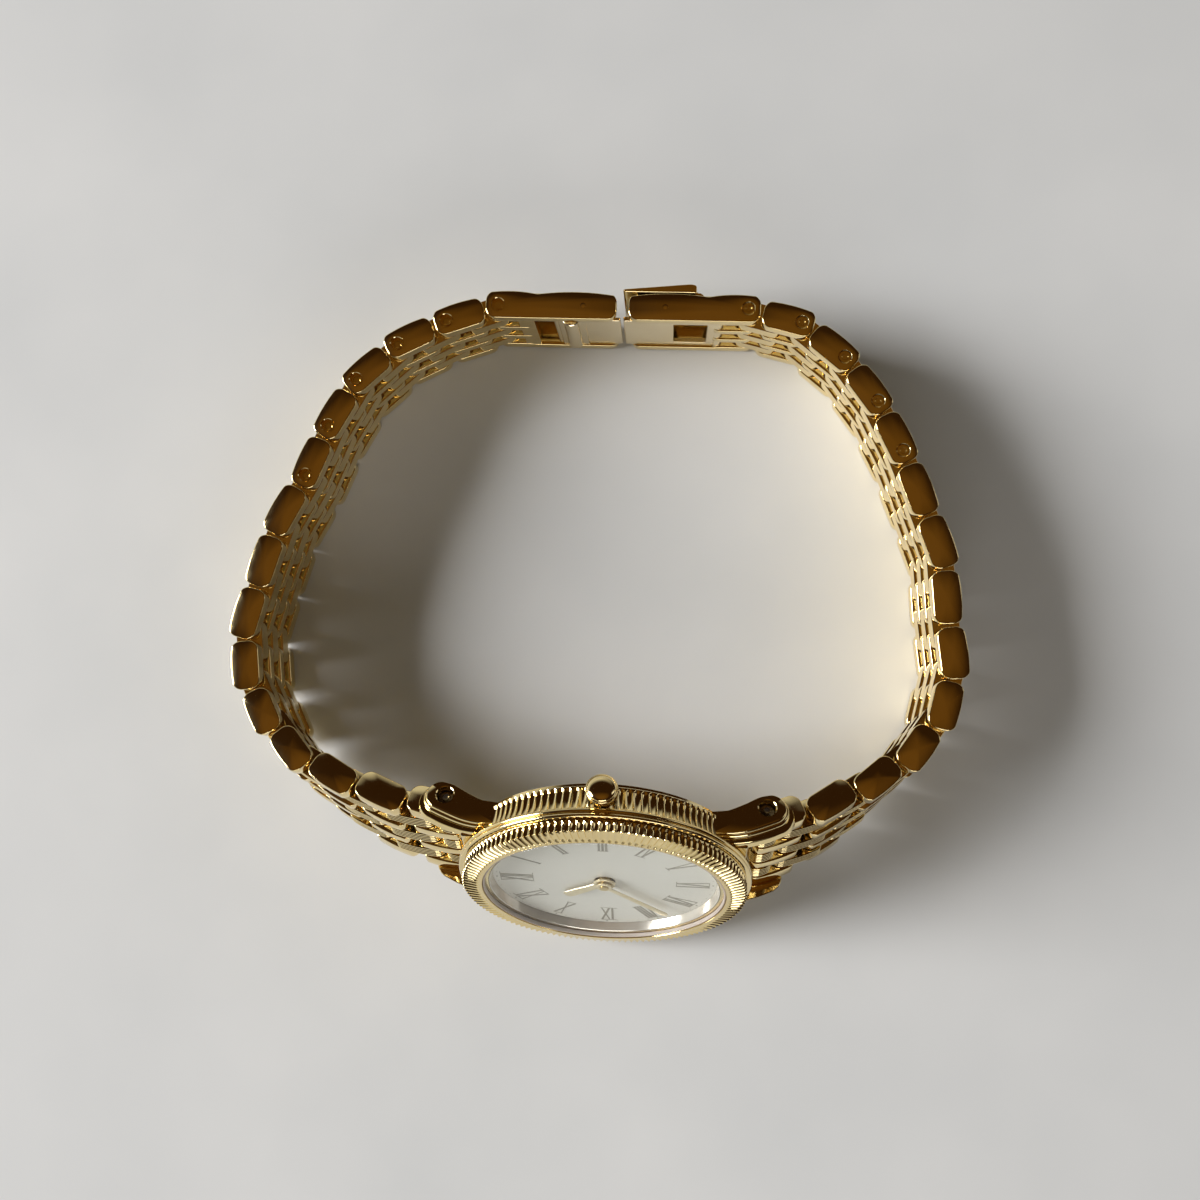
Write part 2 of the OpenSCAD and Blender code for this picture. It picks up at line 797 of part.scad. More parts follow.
module coil() {
  color([0.7, 0.36, 0.16])
    head_frame()
      translate([coil_place, coil_middle, 0.45])
        cross_rod(0.55, -coil_length / 2, coil_length / 2);
}

module circuit_board() {
  color([0.12, 0.35, 0.2])
    head_frame()
      translate([0, 0, bridge_under + 0.04])
        linear_extrude(0.2)
          difference() {
            circle(r = movement_radius - 0.6, $fn = 100);
            translate([-movement_radius, -1.8])
              square([movement_radius + 2.7, 2 * movement_radius]);
            rotate(battery_angle)
              translate([battery_reach, 0])
                circle(r = battery_radius + 0.2, $fn = 60);
            circle(r = arbor_radius + 0.1, $fn = 32);
            translate([coil_place - 0.9, coil_middle - coil_length / 2 - 0.4])
              square([1.8, coil_length + 0.8]);
          }
}

module battery() {
  color(steel)
    head_frame()
      rotate(battery_angle)
        translate([battery_reach, 0, bridge_under]) {
          cylinder(r = battery_radius, h = 1.3, $fn = 80);
          translate([0, 0, 1.3])
            cylinder(r = battery_radius - 0.45, h = 0.2, $fn = 80);
        }
}

module casing_ring() {
  color([0.9, 0.9, 0.88])
    head_frame()
      difference() {
        ring(bore_radius - 0.1, movement_radius + 0.06, back_seat + 0.08, dial_under - 0.03);
        translate([0, 0, stem_level])
          cross_rod(stem_radius + 0.16, movement_radius - 1, bore_radius + 1);
      }
}

module stem() {
  color(steel)
    head_frame()
      translate([0, 0, stem_level])
        cross_rod(stem_radius, movement_radius / 2 + 1.2, crown_base + 1.15);
}

// Stepped crown with a rim, hollow where it slides over its tube
module crown() {
  color(gold)
    head_frame()
      translate([0, crown_base, stem_level])
        rotate([-90, 0, 0])
          difference() {
            union() {
              cylinder(r = crown_radius - 0.16, h = 1.4, $fn = 72);
              translate([0, 0, crown_step])
                cylinder(r = crown_radius, h = 0.68, $fn = 72);
              translate([0, 0, crown_step + 0.68])
                cylinder(r1 = crown_radius - 0.06, r2 = crown_radius - 0.18, h = 0.2, $fn = 72);
              translate([0, 0, crown_step + 0.88])
                cylinder(r1 = crown_radius - 0.18, r2 = crown_radius - 0.45, h = 0.2, $fn = 72);
              translate([0, 0, crown_step + 1.08])
                cylinder(r1 = crown_radius - 0.45, r2 = crown_radius - 1, h = 0.12, $fn = 72);
            }
            translate([0, 0, -1])
              cylinder(r = tube_radius + 0.08, h = 1.75, $fn = 40);
            cylinder(r = stem_radius + 0.015, h = 1.2, $fn = 40);
          }
}

module crown_tube() {
  color(steel)
    head_frame()
      translate([0, 0, stem_level])
        difference() {
          cross_rod(tube_radius, bore_radius + 0.07, crown_base + 0.55);
          cross_rod(stem_radius + 0.08, bore_radius - 1, crown_base + 2);
        }
}

// Shallow snap-on back, coned so that only its edge meets the case
module case_back() {
  color(gold)
    head_frame()
      rotate_extrude($fn = 160)
        polygon([[0, back_level], [back_radius - 2.75, back_level], [back_radius, back_seat],
          [back_radius - 0.9, back_seat], [back_radius - 2.2, back_inner], [0, back_inner]]);
}

module spring_bars() {
  color(steel)
    head_frame()
      for (s = [-1, 1])
        translate([s * bar_reach, 0, 0]) {
          w = lug_gap / 2 + lug_thickness - 0.9;
          cross_rod(lug_hole - 0.06, -w, w);
          cross_rod(0.3, -w - 0.5, w + 0.5);
        }
}

// Box between two corners
module block(x0, x1, y0, y1, z0, z1) {
  translate([x0, y0, z0])
    cube([x1 - x0, y1 - y0, z1 - z0]);
}

// Hinge end and housing shared by both halves of the clasp
module clasp_half(side) {
  k = len(links(side)) - 1;
  w = half_width(side, k);
  a = unit(side, k);
  t = half_thick;
  difference() {
    union() {
      for (s = [-1, 1]) {
        y_out = s < 0 ? -w : w - 1.55 * a;
        yc = s * plain_centre(side, k);
        column(-quarter + end_gap / 2 + w * trim_at(side, k - 1), 3.5, t, y_out,
          y_out + 1.55 * a);
        column(-quarter + end_gap / 2, 3.5, t, yc - 0.57 * a, yc + 0.57 * a);
        column(3.4, clasp_length, t, s < 0 ? -w : w - clasp_wall, s < 0 ? -w + clasp_wall : w);
      }
      block(slot_end, 3.4, -w + 0.1, w - 0.1, -t + 0.05, t - 0.35);
      block(3.2, clasp_length - 0.7, -w + 0.2, w - 0.2, 0.15, t - 0.15);
    }
    cross_rod(pin_radius + 0.02, -(w - 0.4), w - 0.4);
    cross_rod(pin_head + 0.03, side > 0 ? w - 0.9 : -w - 1, side > 0 ? w + 1 : -w + 0.9);
    // Room for the folding parts on the inner side
    if (side < 0)
      block(4.4, clasp_length + 1, -w + clasp_wall, w - clasp_wall, -t - 1, 0.14);
    else
      block(1.8, clasp_length + 1, -w + clasp_wall, w - clasp_wall, -t - 1, 0.14);
    // Room for the hinge of the outer cover
    if (side > 0)
      block(cover_pin - 0.75, cover_pin + 0.75, -w + clasp_wall, w - clasp_wall, 0.5, t + 1);
    translate([side < 0 ? tab_pin : blade_pin, 0, -0.6])
      cross_rod(0.32, -w + 0.3, w - 0.3);
    if (side > 0)
      translate([cover_pin, 0, t - 0.05])
        cross_rod(0.27, -w + 0.3, w - 0.3);
  }
  cross_rod(pin_radius, -(w - 0.42), w - 0.42);
  if (side > 0)
    cross_rod(pin_head, w - 0.88, w - 0.08);
}

module clasp_left() {
  color(gold)
    link_frame(-1, len(left_chain) - 1)
      clasp_half(-1);
}

module clasp_right() {
  color(gold)
    link_frame(1, len(right_chain) - 1)
      clasp_half(1);
}

// Wedge-shaped cover lever on the outer side, with its hinge rod
module clasp_cover() {
  w = width_at_clasp / 2;
  t = half_thick;
  color(gold)
    link_frame(1, len(right_chain) - 1) {
      translate([cover_pin, 0, t - 0.05]) {
        cross_rod(0.22, -w + 0.35, w - 0.35);
        difference() {
          union() {
            cross_rod(0.5, -w + clasp_wall + 0.12, w - clasp_wall - 0.12);
            block(0.1, 0.5, -w + clasp_wall + 0.12, w - clasp_wall - 0.12, 0.2, 0.6);
          }
          cross_rod(0.24, -w, w);
        }
      }
      translate([0, w - 0.1, 0])
        rotate([90, 0, 0])
          linear_extrude(2 * w - 0.2)
            polygon([[cover_pin + 0.3, t + 0.1], [clasp_length + 0.6, t + 0.1],
              [clasp_length + 0.6, t + 0.4], [cover_pin + 0.9, t + 1],
              [cover_pin + 0.3, t + 0.9]]);
    }
}

// Catch tab of the left half, round at its hinge
module clasp_tab() {
  w = width_at_clasp / 2 - clasp_wall - 0.14;
  color(pale_gold)
    link_frame(-1, len(left_chain) - 1) {
      translate([tab_pin, 0, -0.6]) {
        cross_rod(0.27, -w - 0.8, w + 0.8);
        difference() {
          union() {
            cross_rod(0.62, -w, w);
            block(0, 0.25 * clasp_length, -w, w, -0.62, -0.02);
            block(0.21 * clasp_length, clasp_length - tab_pin + 0.35, -w, w, -0.5, -0.12);
          }
          cross_rod(0.29, -w - 1, w + 1);
        }
      }
    }
}

// Folding blade of the right half, with the window near its hinge
module clasp_blade() {
  w = width_at_clasp / 2 - clasp_wall - 0.14;
  color(pale_gold)
    link_frame(1, len(right_chain) - 1) {
      translate([blade_pin, 0, -0.6]) {
        cross_rod(0.27, -w - 0.8, w + 0.8);
        difference() {
          union() {
            cross_rod(0.62, -w, w);
            block(0, clasp_length - blade_pin + 0.5, -w, w, -0.5, -0.02);
          }
          cross_rod(0.29, -w - 1, w + 1);
          block(0.095 * clasp_length, 0.38 * clasp_length, -w + 0.9, w - 0.9, -2, 2);
        }
      }
    }
}

module end_link_left() end_link(-1);
module link_left_01() chain_link(-1, 1);
module link_left_02() chain_link(-1, 2);
module link_left_03() chain_link(-1, 3);
module link_left_04() chain_link(-1, 4);
module link_left_05() chain_link(-1, 5);
module link_left_06() chain_link(-1, 6);
module link_left_07() chain_link(-1, 7);
module link_left_08() chain_link(-1, 8);
module link_left_09() chain_link(-1, 9);
module link_left_10() chain_link(-1, 10);
module link_left_11() chain_link(-1, 11);
module link_left_12() chain_link(-1, 12);
module link_left_13() chain_link(-1, 13);
module end_link_right() end_link(1);
module link_right_01() chain_link(1, 1);
module link_right_02() chain_link(1, 2);
module link_right_03() chain_link(1, 3);
module link_right_04() chain_link(1, 4);
module link_right_05() chain_link(1, 5);
module link_right_06() chain_link(1, 6);
module link_right_07() chain_link(1, 7);
module link_right_08() chain_link(1, 8);
module link_right_09() chain_link(1, 9);
module link_right_10() chain_link(1, 10);
module link_right_11() chain_link(1, 11);
module link_right_12() chain_link(1, 12);

case_middle();
polished_ring();
fluted_bezel();
crystal();
crystal_gasket();
rehaut();
dial();
hour_marks();
hour_hand();
minute_hand();
centre_wheel();
hour_wheel();
minute_wheel();
third_wheel();
rotor();
mainplate();
train_bridge();
stator();
coil();
circuit_board();
battery();
casing_ring();
stem();
crown();
crown_tube();
case_back();
spring_bars();
end_link_left();
link_left_01();
link_left_02();
link_left_03();
link_left_04();
link_left_05();
link_left_06();
link_left_07();
link_left_08();
link_left_09();
link_left_10();
link_left_11();
link_left_12();
link_left_13();
end_link_right();
link_right_01();
link_right_02();
link_right_03();
link_right_04();
link_right_05();
link_right_06();
link_right_07();
link_right_08();
link_right_09();
link_right_10();
link_right_11();
link_right_12();
clasp_left();
clasp_right();
clasp_cover();
clasp_tab();
clasp_blade();
echo(left = left_chain, right = right_chain, head = head_height, reach = lean_reach);
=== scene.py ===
import bmesh
import bpy
import numpy as np
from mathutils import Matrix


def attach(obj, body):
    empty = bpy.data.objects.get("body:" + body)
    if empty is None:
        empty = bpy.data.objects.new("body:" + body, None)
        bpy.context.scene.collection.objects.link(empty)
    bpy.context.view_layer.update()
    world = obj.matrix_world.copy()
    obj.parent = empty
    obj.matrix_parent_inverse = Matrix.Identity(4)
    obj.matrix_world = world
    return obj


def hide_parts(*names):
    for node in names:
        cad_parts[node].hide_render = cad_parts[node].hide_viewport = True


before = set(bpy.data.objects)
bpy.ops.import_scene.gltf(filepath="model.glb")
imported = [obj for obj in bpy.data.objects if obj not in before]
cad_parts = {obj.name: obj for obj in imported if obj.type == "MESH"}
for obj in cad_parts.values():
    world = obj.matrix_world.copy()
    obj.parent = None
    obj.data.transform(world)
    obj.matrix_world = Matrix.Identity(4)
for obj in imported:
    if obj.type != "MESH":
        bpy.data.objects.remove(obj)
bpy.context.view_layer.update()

# --- Camera ---------------------------------------------------------------
# Taken from almost straight above and close by, so upright walls lean outwards.
eye = bpy.data.cameras.new("eye")
eye.lens = 35.4
eye.sensor_width = 36.0
eye.clip_start = 0.005
eye.clip_end = 5.0
camera = bpy.data.objects.new("eye", eye)
camera.location = (0.007023, -0.005119, 0.122013)
camera.rotation_euler = np.radians((3.507, 3.225, 2.024))
bpy.context.collection.objects.link(camera)
bpy.context.scene.camera = camera
bpy.context.scene.view_settings.view_transform = "Standard"

# --- Light ----------------------------------------------------------------
# One big soft window-like lamp on the left, weaker ones in front and on the right.
def soft_box(name, place, size, watts, colour):
    """A rectangular lamp at place that faces the watch."""
    lamp = bpy.data.lights.new(name, "AREA")
    lamp.shape = "RECTANGLE"
    lamp.size, lamp.size_y = size
    lamp.energy = watts
    lamp.color = colour
    holder = bpy.data.objects.new(name, lamp)
    holder.location = place
    to = -holder.location.copy()
    to.z += 0.01
    holder.rotation_euler = to.to_track_quat("-Z", "Y").to_euler()
    bpy.context.collection.objects.link(holder)


soft_box("window_left", (-1.90, 0.04, 1.00), (1.00, 1.00), 75.0, (0.99, 0.99, 1.0))
soft_box("card_front", (0.06, -0.50, 0.30), (0.40, 0.16), 0.80, (1.0, 0.98, 0.96))
soft_box("card_right", (0.50, 0.16, 0.26), (0.16, 0.26), 0.12, (1.0, 0.98, 0.95))

room = bpy.data.worlds.new("room")
room.use_nodes = True
# Metal sees a dark room, amber overhead, and low on the left the pale far walls;
# everything else gets a little warm fill.
air = room.node_tree
seen, toward = air.nodes.new("ShaderNodeLightPath"), air.nodes.new("ShaderNodeTexCoord")
parts = air.nodes.new("ShaderNodeSeparateXYZ")
air.links.new(toward.outputs["Generated"], parts.inputs[0])
share = []
for axis, ends in (("Z", (0.36, 0.16)), ("X", (0.60, -0.10)), ("Z", (0.78, 0.98))):
    span = air.nodes.new("ShaderNodeMapRange")
    span.inputs["From Min"].default_value, span.inputs["From Max"].default_value = ends
    air.links.new(parts.outputs[axis], span.inputs["Value"])
    share.append(span.outputs["Result"])
both = air.nodes.new("ShaderNodeMath")
both.operation = "MULTIPLY"
air.links.new(share[0], both.inputs[0])
air.links.new(share[1], both.inputs[1])


def either(low, high, factor):
    """A colour between low and high, by factor."""
    mix = air.nodes.new("ShaderNodeMix")
    mix.data_type = "RGBA"
    for socket, value in ((6, low), (7, high), (0, factor)):
        if isinstance(value, tuple):
            mix.inputs[socket].default_value = value + (1,)
        else:
            air.links.new(value, mix.inputs[socket])
    return mix.outputs[2]


ceiling = either((0.026, 0.011, 0.003), (0.125, 0.058, 0.010), share[2])
mirrored = either(ceiling, (0.62, 0.61, 0.56), both.outputs[0])
air.links.new(either((0.095, 0.083, 0.065), mirrored, seen.outputs["Is Glossy Ray"]),
              air.nodes["Background"].inputs["Color"])
bpy.context.scene.world = room


# --- Table ----------------------------------------------------------------
# A plain pale matt table top under the watch, which isn't part of the object.
class Wire:
    """A socket that can be written in sums; each operator adds a Math node."""

    def __init__(self, tree, socket):
        self.tree, self.socket = tree, socket

    def _math(self, kind, *others):
        node = self.tree.nodes.new("ShaderNodeMath")
        node.operation = kind
        for i, value in enumerate((self, *others)):
            if isinstance(value, Wire):
                self.tree.links.new(value.socket, node.inputs[i])
            else:
                node.inputs[i].default_value = value
        return Wire(self.tree, node.outputs[0])

    def __add__(self, other):
        return self._math("ADD", other)

    def __mul__(self, other):
        return self._math("MULTIPLY", other)

    def __sub__(self, other):
        return self._math("SUBTRACT", other)

    def __rsub__(self, other):
        return self._math("MULTIPLY", -1.0)._math("ADD", other)

    def clipped(self):
        return self._math("MULTIPLY", 1.0)._math("MINIMUM", 1.0)._math("MAXIMUM", 0.0)


class Finish:
    """A material whose nodes are added by type, settings and socket values."""

    def __init__(self, name, **plain):
        self.material = bpy.data.materials.new(name)
        self.material.use_nodes = True
        self.tree = self.material.node_tree
        self.shader = self.tree.nodes["Principled BSDF"]
        for key, value in plain.items():
            self.shader.inputs[key.replace("_", " ")].default_value = value

    def add(self, kind, settings=None, out=0, **sockets):
        """A node of this kind; settings come first, then socket values or links."""
        node = self.tree.nodes.new("ShaderNode" + kind)
        for key, value in (settings or {}).items():
            if key == "stops":
                ramp = node.color_ramp
                while len(ramp.elements) < len(value):
                    ramp.elements.new(0.5)
                for element, (place, colour) in zip(ramp.elements, value):
                    element.position, element.color = place, colour
            else:
                setattr(node, key, value)
        for key, value in sockets.items():
            socket = node.inputs[int(key[1:])] if key[1:].isdigit() else node.inputs[key]
            if isinstance(value, Wire):
                self.tree.links.new(value.socket, socket)
            else:
                socket.default_value = value
        return Wire(self.tree, node.outputs[out])

    def place(self, *scale):
        """Object coordinates, stretched by scale."""
        here = self.add("TexCoord", out=3)
        return self.add("Mapping", {}, Vector=here, Scale=scale or (1.0, 1.0, 1.0))

    def feed(self, socket, wire):
        self.tree.links.new(wire.socket, self.shader.inputs[socket])

    def bump(self, height, strength, distance):
        self.feed("Normal", self.add("Bump", Height=height, Strength=strength, Distance=distance))


def mottled(name, dark, light, scale, detail=2.0, size=2.0, **plain):
    """A finish that wavers between two colours, and the noise that steers it."""
    finish = Finish(name, **plain)
    noise = finish.add("TexNoise", Vector=finish.place(scale, scale, scale), Scale=size,
                       Detail=detail)
    finish.feed("Base Color", finish.add("ValToRGB", {"stops": [
        (0.3, dark + (1,)), (0.7, light + (1,))]}, Fac=noise))
    return finish, noise


matt, _ = mottled("table_top", (0.60, 0.605, 0.60), (0.66, 0.66, 0.65), 9.0, 3.0, 4.0,
                  Roughness=0.75)
half = 0.9
table = bpy.data.meshes.new("table_top")
table.from_pydata([(-half, -half, 0), (half, -half, 0), (half, half, 0), (-half, half, 0)],
                  [], [(0, 1, 2, 3)])
table.materials.append(matt.material)
table_top = bpy.data.objects.new("table_top", table)
bpy.context.collection.objects.link(table_top)

# --- Case middle ----------------------------------------------------------
# Solid gold ring whose band is cut with hollow flutes, turned from one blank.
# The four lugs are shaped from the same blank in two leaves and polished.
head_lean = np.radians(32.4)
band_radius, band_rear, band_front, band_flutes = 12.6, 0.88, 3.28, 120
middle = np.array([-1.945, 20.9253, -0.0115])
head_height = band_radius * np.cos(head_lean) - band_rear * np.sin(head_lean)
bar_reach, lug_gap, lug_thickness, lug_hole = 14.3, 12.4, 1.74, 0.78
bore_radius = 10.6


def head_place():
    """Frame of the head: x to six, y to three, z out of the dial."""
    s, c = np.sin(head_lean), np.cos(head_lean)
    place = np.eye(4)
    place[:3, 0] = (1, 0, 0)
    place[:3, 1] = (0, s, c)
    place[:3, 2] = (0, -c, s)
    place[:3, 3] = np.array([0, 0, head_height]) - middle
    return place


def skin(rings, ends="point"):
    """Faces over a grid of rings. Each ring closes on itself. The two ends are
    closed by a fan to their middle ("point"), or joined to each other ("loop")."""
    rings = np.asarray(rings, float)
    rows, cols = rings.shape[:2]
    verts = rings.reshape(-1, 3)
    last = rows if ends == "loop" else rows - 1
    i, j = np.meshgrid(np.arange(last), np.arange(cols), indexing="ij")
    k, m = (i + 1) % rows, (j + 1) % cols
    quads = np.stack([i * cols + j, i * cols + m, k * cols + m, k * cols + j], -1)
    faces = quads.reshape(-1, 4).tolist()
    if ends == "point":
        verts = np.vstack([verts, rings[0].mean(0), rings[-1].mean(0)])
        around = np.arange(cols)
        after = (around + 1) % cols
        low = np.full(cols, rows * cols)
        base = (rows - 1) * cols
        faces += np.stack([after, around, low], -1).tolist()
        faces += np.stack([base + around, base + after, low + 1], -1).tolist()
    return verts, faces


def piece(name, solids, place, finish, body, slot, *nodes, sharp=32.0):
    """One object from solids given in the frame place, in millimetres."""
    verts, faces, start = [], [], 0
    for v, f in solids:
        verts.append(v)
        faces += [[n + start for n in face] for face in f]
        start += len(v)
    verts = np.vstack(verts)
    verts = (verts @ place[:3, :3].T + place[:3, 3]) * 0.001
    mesh = bpy.data.meshes.new(name)
    mesh.from_pydata(verts.tolist(), [], faces)
    work = bmesh.new()
    work.from_mesh(mesh)
    bmesh.ops.recalc_face_normals(work, faces=work.faces)
    work.to_mesh(mesh)
    work.free()
    mesh.shade_smooth()
    mesh.set_sharp_from_angle(angle=np.radians(sharp))
    mesh.materials.append(finish.material)
    thing = bpy.data.objects.new(name, mesh)
    bpy.context.collection.objects.link(thing)
    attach(thing, body)
    if nodes:
        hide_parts(*nodes)
    return thing


def turned(profile, count=240):
    """A profile of (radius, height) points carried round the axis; it closes on itself."""
    p = np.asarray(profile, float)
    t = np.linspace(0, 2 * np.pi, count, endpoint=False)
    r = p[:, 0][:, None]
    return skin(np.stack([r * np.cos(t), r * np.sin(t), p[:, 1][:, None] + 0 * t], -1), "loop")


def gold_finish(name, colour, rough, grain):
    """Polished gold with faint hairlines, and a slightly redder tone in patches."""
    gold = Finish(name, Metallic=1.0, Roughness=rough)
    here = gold.place(1.0, 1.0, 1.0)
    cloud = gold.add("TexNoise", Vector=here, Scale=160.0, Detail=4.0, Roughness=0.6)
    deep = tuple(c * k for c, k in zip(colour, (0.95, 0.92, 0.85))) + (1,)
    gold.feed("Base Color", gold.add("ValToRGB", {"stops": [
        (0.32, deep), (0.68, tuple(colour) + (1,))]}, Fac=cloud))
    lines = gold.add("TexNoise", Vector=gold.place(900.0, 240.0, 240.0), Scale=3.0, Detail=2.0)
    gold.feed("Roughness", (cloud * 0.06 + lines * 0.05 + (rough - 0.05)).clipped())
    gold.bump(lines * grain + cloud * (2.0 * grain), 0.25, 0.00002)
    return gold


yellow_gold = gold_finish("polished_yellow_gold", (0.90, 0.74, 0.40), 0.09, 0.5)


def fluted_turning(profile, count, per=10):
    """A profile carried round the axis and cut by hollow flutes. Each profile row is
    (radius, height, depth, arch). Across a flute u runs from -1 to 1 between its
    ridges, and the cut along the profile's normal is depth * (1 - u^2 - arch^2)
    where that is above 0, so a flute ends in a round arch as arch rises to 1."""
    p = np.asarray(profile, float)
    step = np.roll(p[:, :2], -1, 0) - np.roll(p[:, :2], 1, 0)
    step /= np.linalg.norm(step, axis=1)[:, None]
    t = np.arange(count * per) * 2 * np.pi / (count * per)
    u = (np.arange(count * per) % per) * 2 / per - 1
    cut = p[:, 2:3] * np.maximum(0, 1 - u ** 2 - p[:, 3:4] ** 2)
    r = p[:, 0:1] - cut * step[:, 1:2]
    z = p[:, 1:2] + cut * step[:, 0:1]
    return skin(np.stack([r * np.cos(t), r * np.sin(t), z], -1), "loop")


band_rise = np.array([0, 0.03, 0.07, 0.12, 0.18, 0.25, 0.34])
band_arch = np.sqrt(np.maximum(0, 1 - band_rise / 0.34))
band_cut = 0.17
low_end = [(band_radius, band_rear + 0.06 + d, band_cut, a)
           for d, a in zip(band_rise, band_arch)]
high_end = [(band_radius, band_front - 0.14 - d, band_cut, a)
            for d, a in zip(band_rise, band_arch)]
skirt_radius, skirt_rear, seat_radius = 12.3, 0.18, 11.45
band_profile = [(bore_radius, skirt_rear, 0, 1), (seat_radius, skirt_rear, 0, 1),
                (skirt_radius - 0.08, 0.45, 0, 1), (skirt_radius, 0.52, 0, 1),
                (skirt_radius, band_rear - 0.01, 0, 1),
                (band_radius - 0.05, band_rear, 0, 1)] + low_end + high_end[::-1] + [
    (band_radius, band_front - 0.05, 0, 1), (band_radius - 0.05, band_front, 0, 1),
    (bore_radius, band_front, 0, 1)]


def drawn_in(outline, d):
    """A closed outline with each point moved inwards by d, square to its run."""
    run = np.roll(outline, -1, 0) - np.roll(outline, 1, 0)
    run = run / np.linalg.norm(run, axis=1)[:, None]
    after = np.roll(outline, -1, 0)
    turn = np.sign((outline[:, 0] * after[:, 1] - after[:, 0] * outline[:, 1]).sum())
    return outline + d * turn * np.stack([-run[:, 1], run[:, 0]], -1)


def spread(points, count):
    """A line through the points with count even steps, softened between them."""
    p = np.asarray(points, float)
    far = np.concatenate([[0], np.cumsum(np.linalg.norm(np.diff(p, axis=0), axis=1))])
    at = np.linspace(0, far[-1], count)
    q = np.stack([np.interp(at, far, p[:, 0]), np.interp(at, far, p[:, 1])], -1)
    for _ in range(3):
        q[1:-1] = (q[:-2] + 2 * q[1:-1] + q[2:]) / 4
    return q


def leaf(centre, radius, start, end, front):
    """Side outline of one leaf of a lug: the hollow rear edge, which both leaves
    share, then an arc round the tip, then the front edge up to the case."""
    rear = [(-4.9, 0.58), (-4.3, 0.56), (-3.6, 0.46), (-3.0, 0.21), (-2.25, -0.15),
            (-1.55, -0.5), (-0.9, -0.93), (-0.35, -1.13)]
    q = np.radians(np.linspace(start, end, 26))
    tip = np.stack([centre[0] + radius * np.cos(q), centre[1] + radius * np.sin(q)], -1)
    return np.vstack([spread(np.vstack([rear, tip[:1]]), 24)[:-1], tip,
                      spread(np.vstack([tip[-1:], front]), 26)[1:]])


outer_leaf = leaf((0.35, 0.0), 1.25, -90, 60, [
    (-0.35, 1.64), (-1.1, 1.97), (-1.85, 2.23), (-2.8, 2.45), (-3.75, 2.53), (-4.9, 2.53)])
inner_leaf = leaf((0.85, 0.35), 1.7, -100, 70, [
    (0.4, 2.45), (-0.35, 2.7), (-1.1, 2.95), (-1.85, 3.13), (-3.0, 3.25), (-4.9, 3.27)])


def circle_like(outline, centre, r):
    """Circle points that face the outline's points, seen from centre."""
    v = outline - centre
    t = np.unwrap(np.arctan2(v[:, 1], v[:, 0]))
    t = np.maximum.accumulate(t) if t[-1] > t[0] else np.minimum.accumulate(t)
    return np.stack([centre[0] + r * np.cos(t), centre[1] + r * np.sin(t)], -1)


def lug(side, end):
    """A lug as outlines set side by side across it. Each outline lies between the
    two leaves' outlines by a share, and is drawn in by an inset: a thin bevel, a
    rounded ridge, a groove, and a broad ridge that stands further forward."""
    across = [(0.0, 0.0, 0.03), (0.03, 0.03, 0.0), (0.10, 0.10, 0.0), (0.28, 0.15, 0.0),
              (0.30, 0.16, 0.03), (0.33, 0.24, 0.0), (0.38, 0.30, 0.0), (0.50, 0.37, 0.0),
              (0.66, 0.42, 0.0), (0.80, 0.44, 0.01), (0.86, 0.44, 0.08), (0.90, 0.70, 0.06),
              (0.92, 0.80, 0.0), (1.0, 0.86, 0.0), (1.2, 0.92, 0.0), (1.5, 0.97, 0.0),
              (1.66, 1.0, 0.0), (lug_thickness, 1.0, 0.06)]
    rows = [(w, drawn_in(outer_leaf * (1 - share) + inner_leaf * share, inset))
            for w, share, inset in across]
    hole = lambda base, r: circle_like(base, np.zeros(2), r)
    first, last = rows[0][1], rows[-1][1]
    rings = [(0.06, hole(first, lug_hole)), (0.0, hole(first, lug_hole + 0.07))] + rows
    rings += [(lug_thickness, hole(last, lug_hole))]
    far = lug_gap / 2 + lug_thickness
    grid = np.array([np.stack([side * (bar_reach + o[:, 0]),
                               np.full(len(o), end * (far - w)), o[:, 1]], -1)
                     for w, o in rings])
    return skin(grid, "loop")


def shelf(side):
    """Wall between two lugs behind the end link: a bar with round edges."""
    y = np.linspace(-lug_gap / 2 - 0.3, lug_gap / 2 + 0.3, 40)
    x_out = np.full(40, band_radius + 0.05)
    x_in = np.sqrt(np.maximum(band_radius ** 2 - y ** 2, 0)) - 0.9
    z0, z1 = band_rear + 0.02, band_front - 0.02
    edge = [(x_in, z0), (x_out - 0.1, z0), (x_out, z0 + 0.1), (x_out, z1 - 0.1),
            (x_out - 0.1, z1), (x_in, z1)]
    return skin(np.stack([np.stack([side * x, y, z + 0 * y], -1) for x, z in edge], 1))


head = head_place()
piece("case_band_and_lugs",
      [fluted_turning(band_profile, band_flutes)] + [lug(s, e) for s in (-1, 1) for e in (-1, 1)]
      + [shelf(-1), shelf(1)],
      head, yellow_gold, "head", "yellow_gold", "case_middle")

# --- Polished ring --------------------------------------------------------
# Smooth double moulding between the case band and the bezel, turned and polished.
ring_rear, ring_front, ring_reach = 3.31, 4.1, 13.25
t = np.linspace(-np.pi / 2, np.pi / 2, 11)
low_roll = np.stack([ring_reach + 0.20 * np.cos(t), ring_rear + 0.20 + 0.20 * np.sin(t)], -1)
high_roll = np.stack([ring_reach + 0.18 * np.cos(t),
                      ring_front - 0.185 + 0.185 * np.sin(t)], -1)
piece("polished_ring_turned",
      [turned(np.vstack([[(bore_radius, ring_rear)], low_roll, high_roll,
                         [(bore_radius, ring_front)]]))],
      head, yellow_gold, "head", "yellow_gold", "polished_ring")

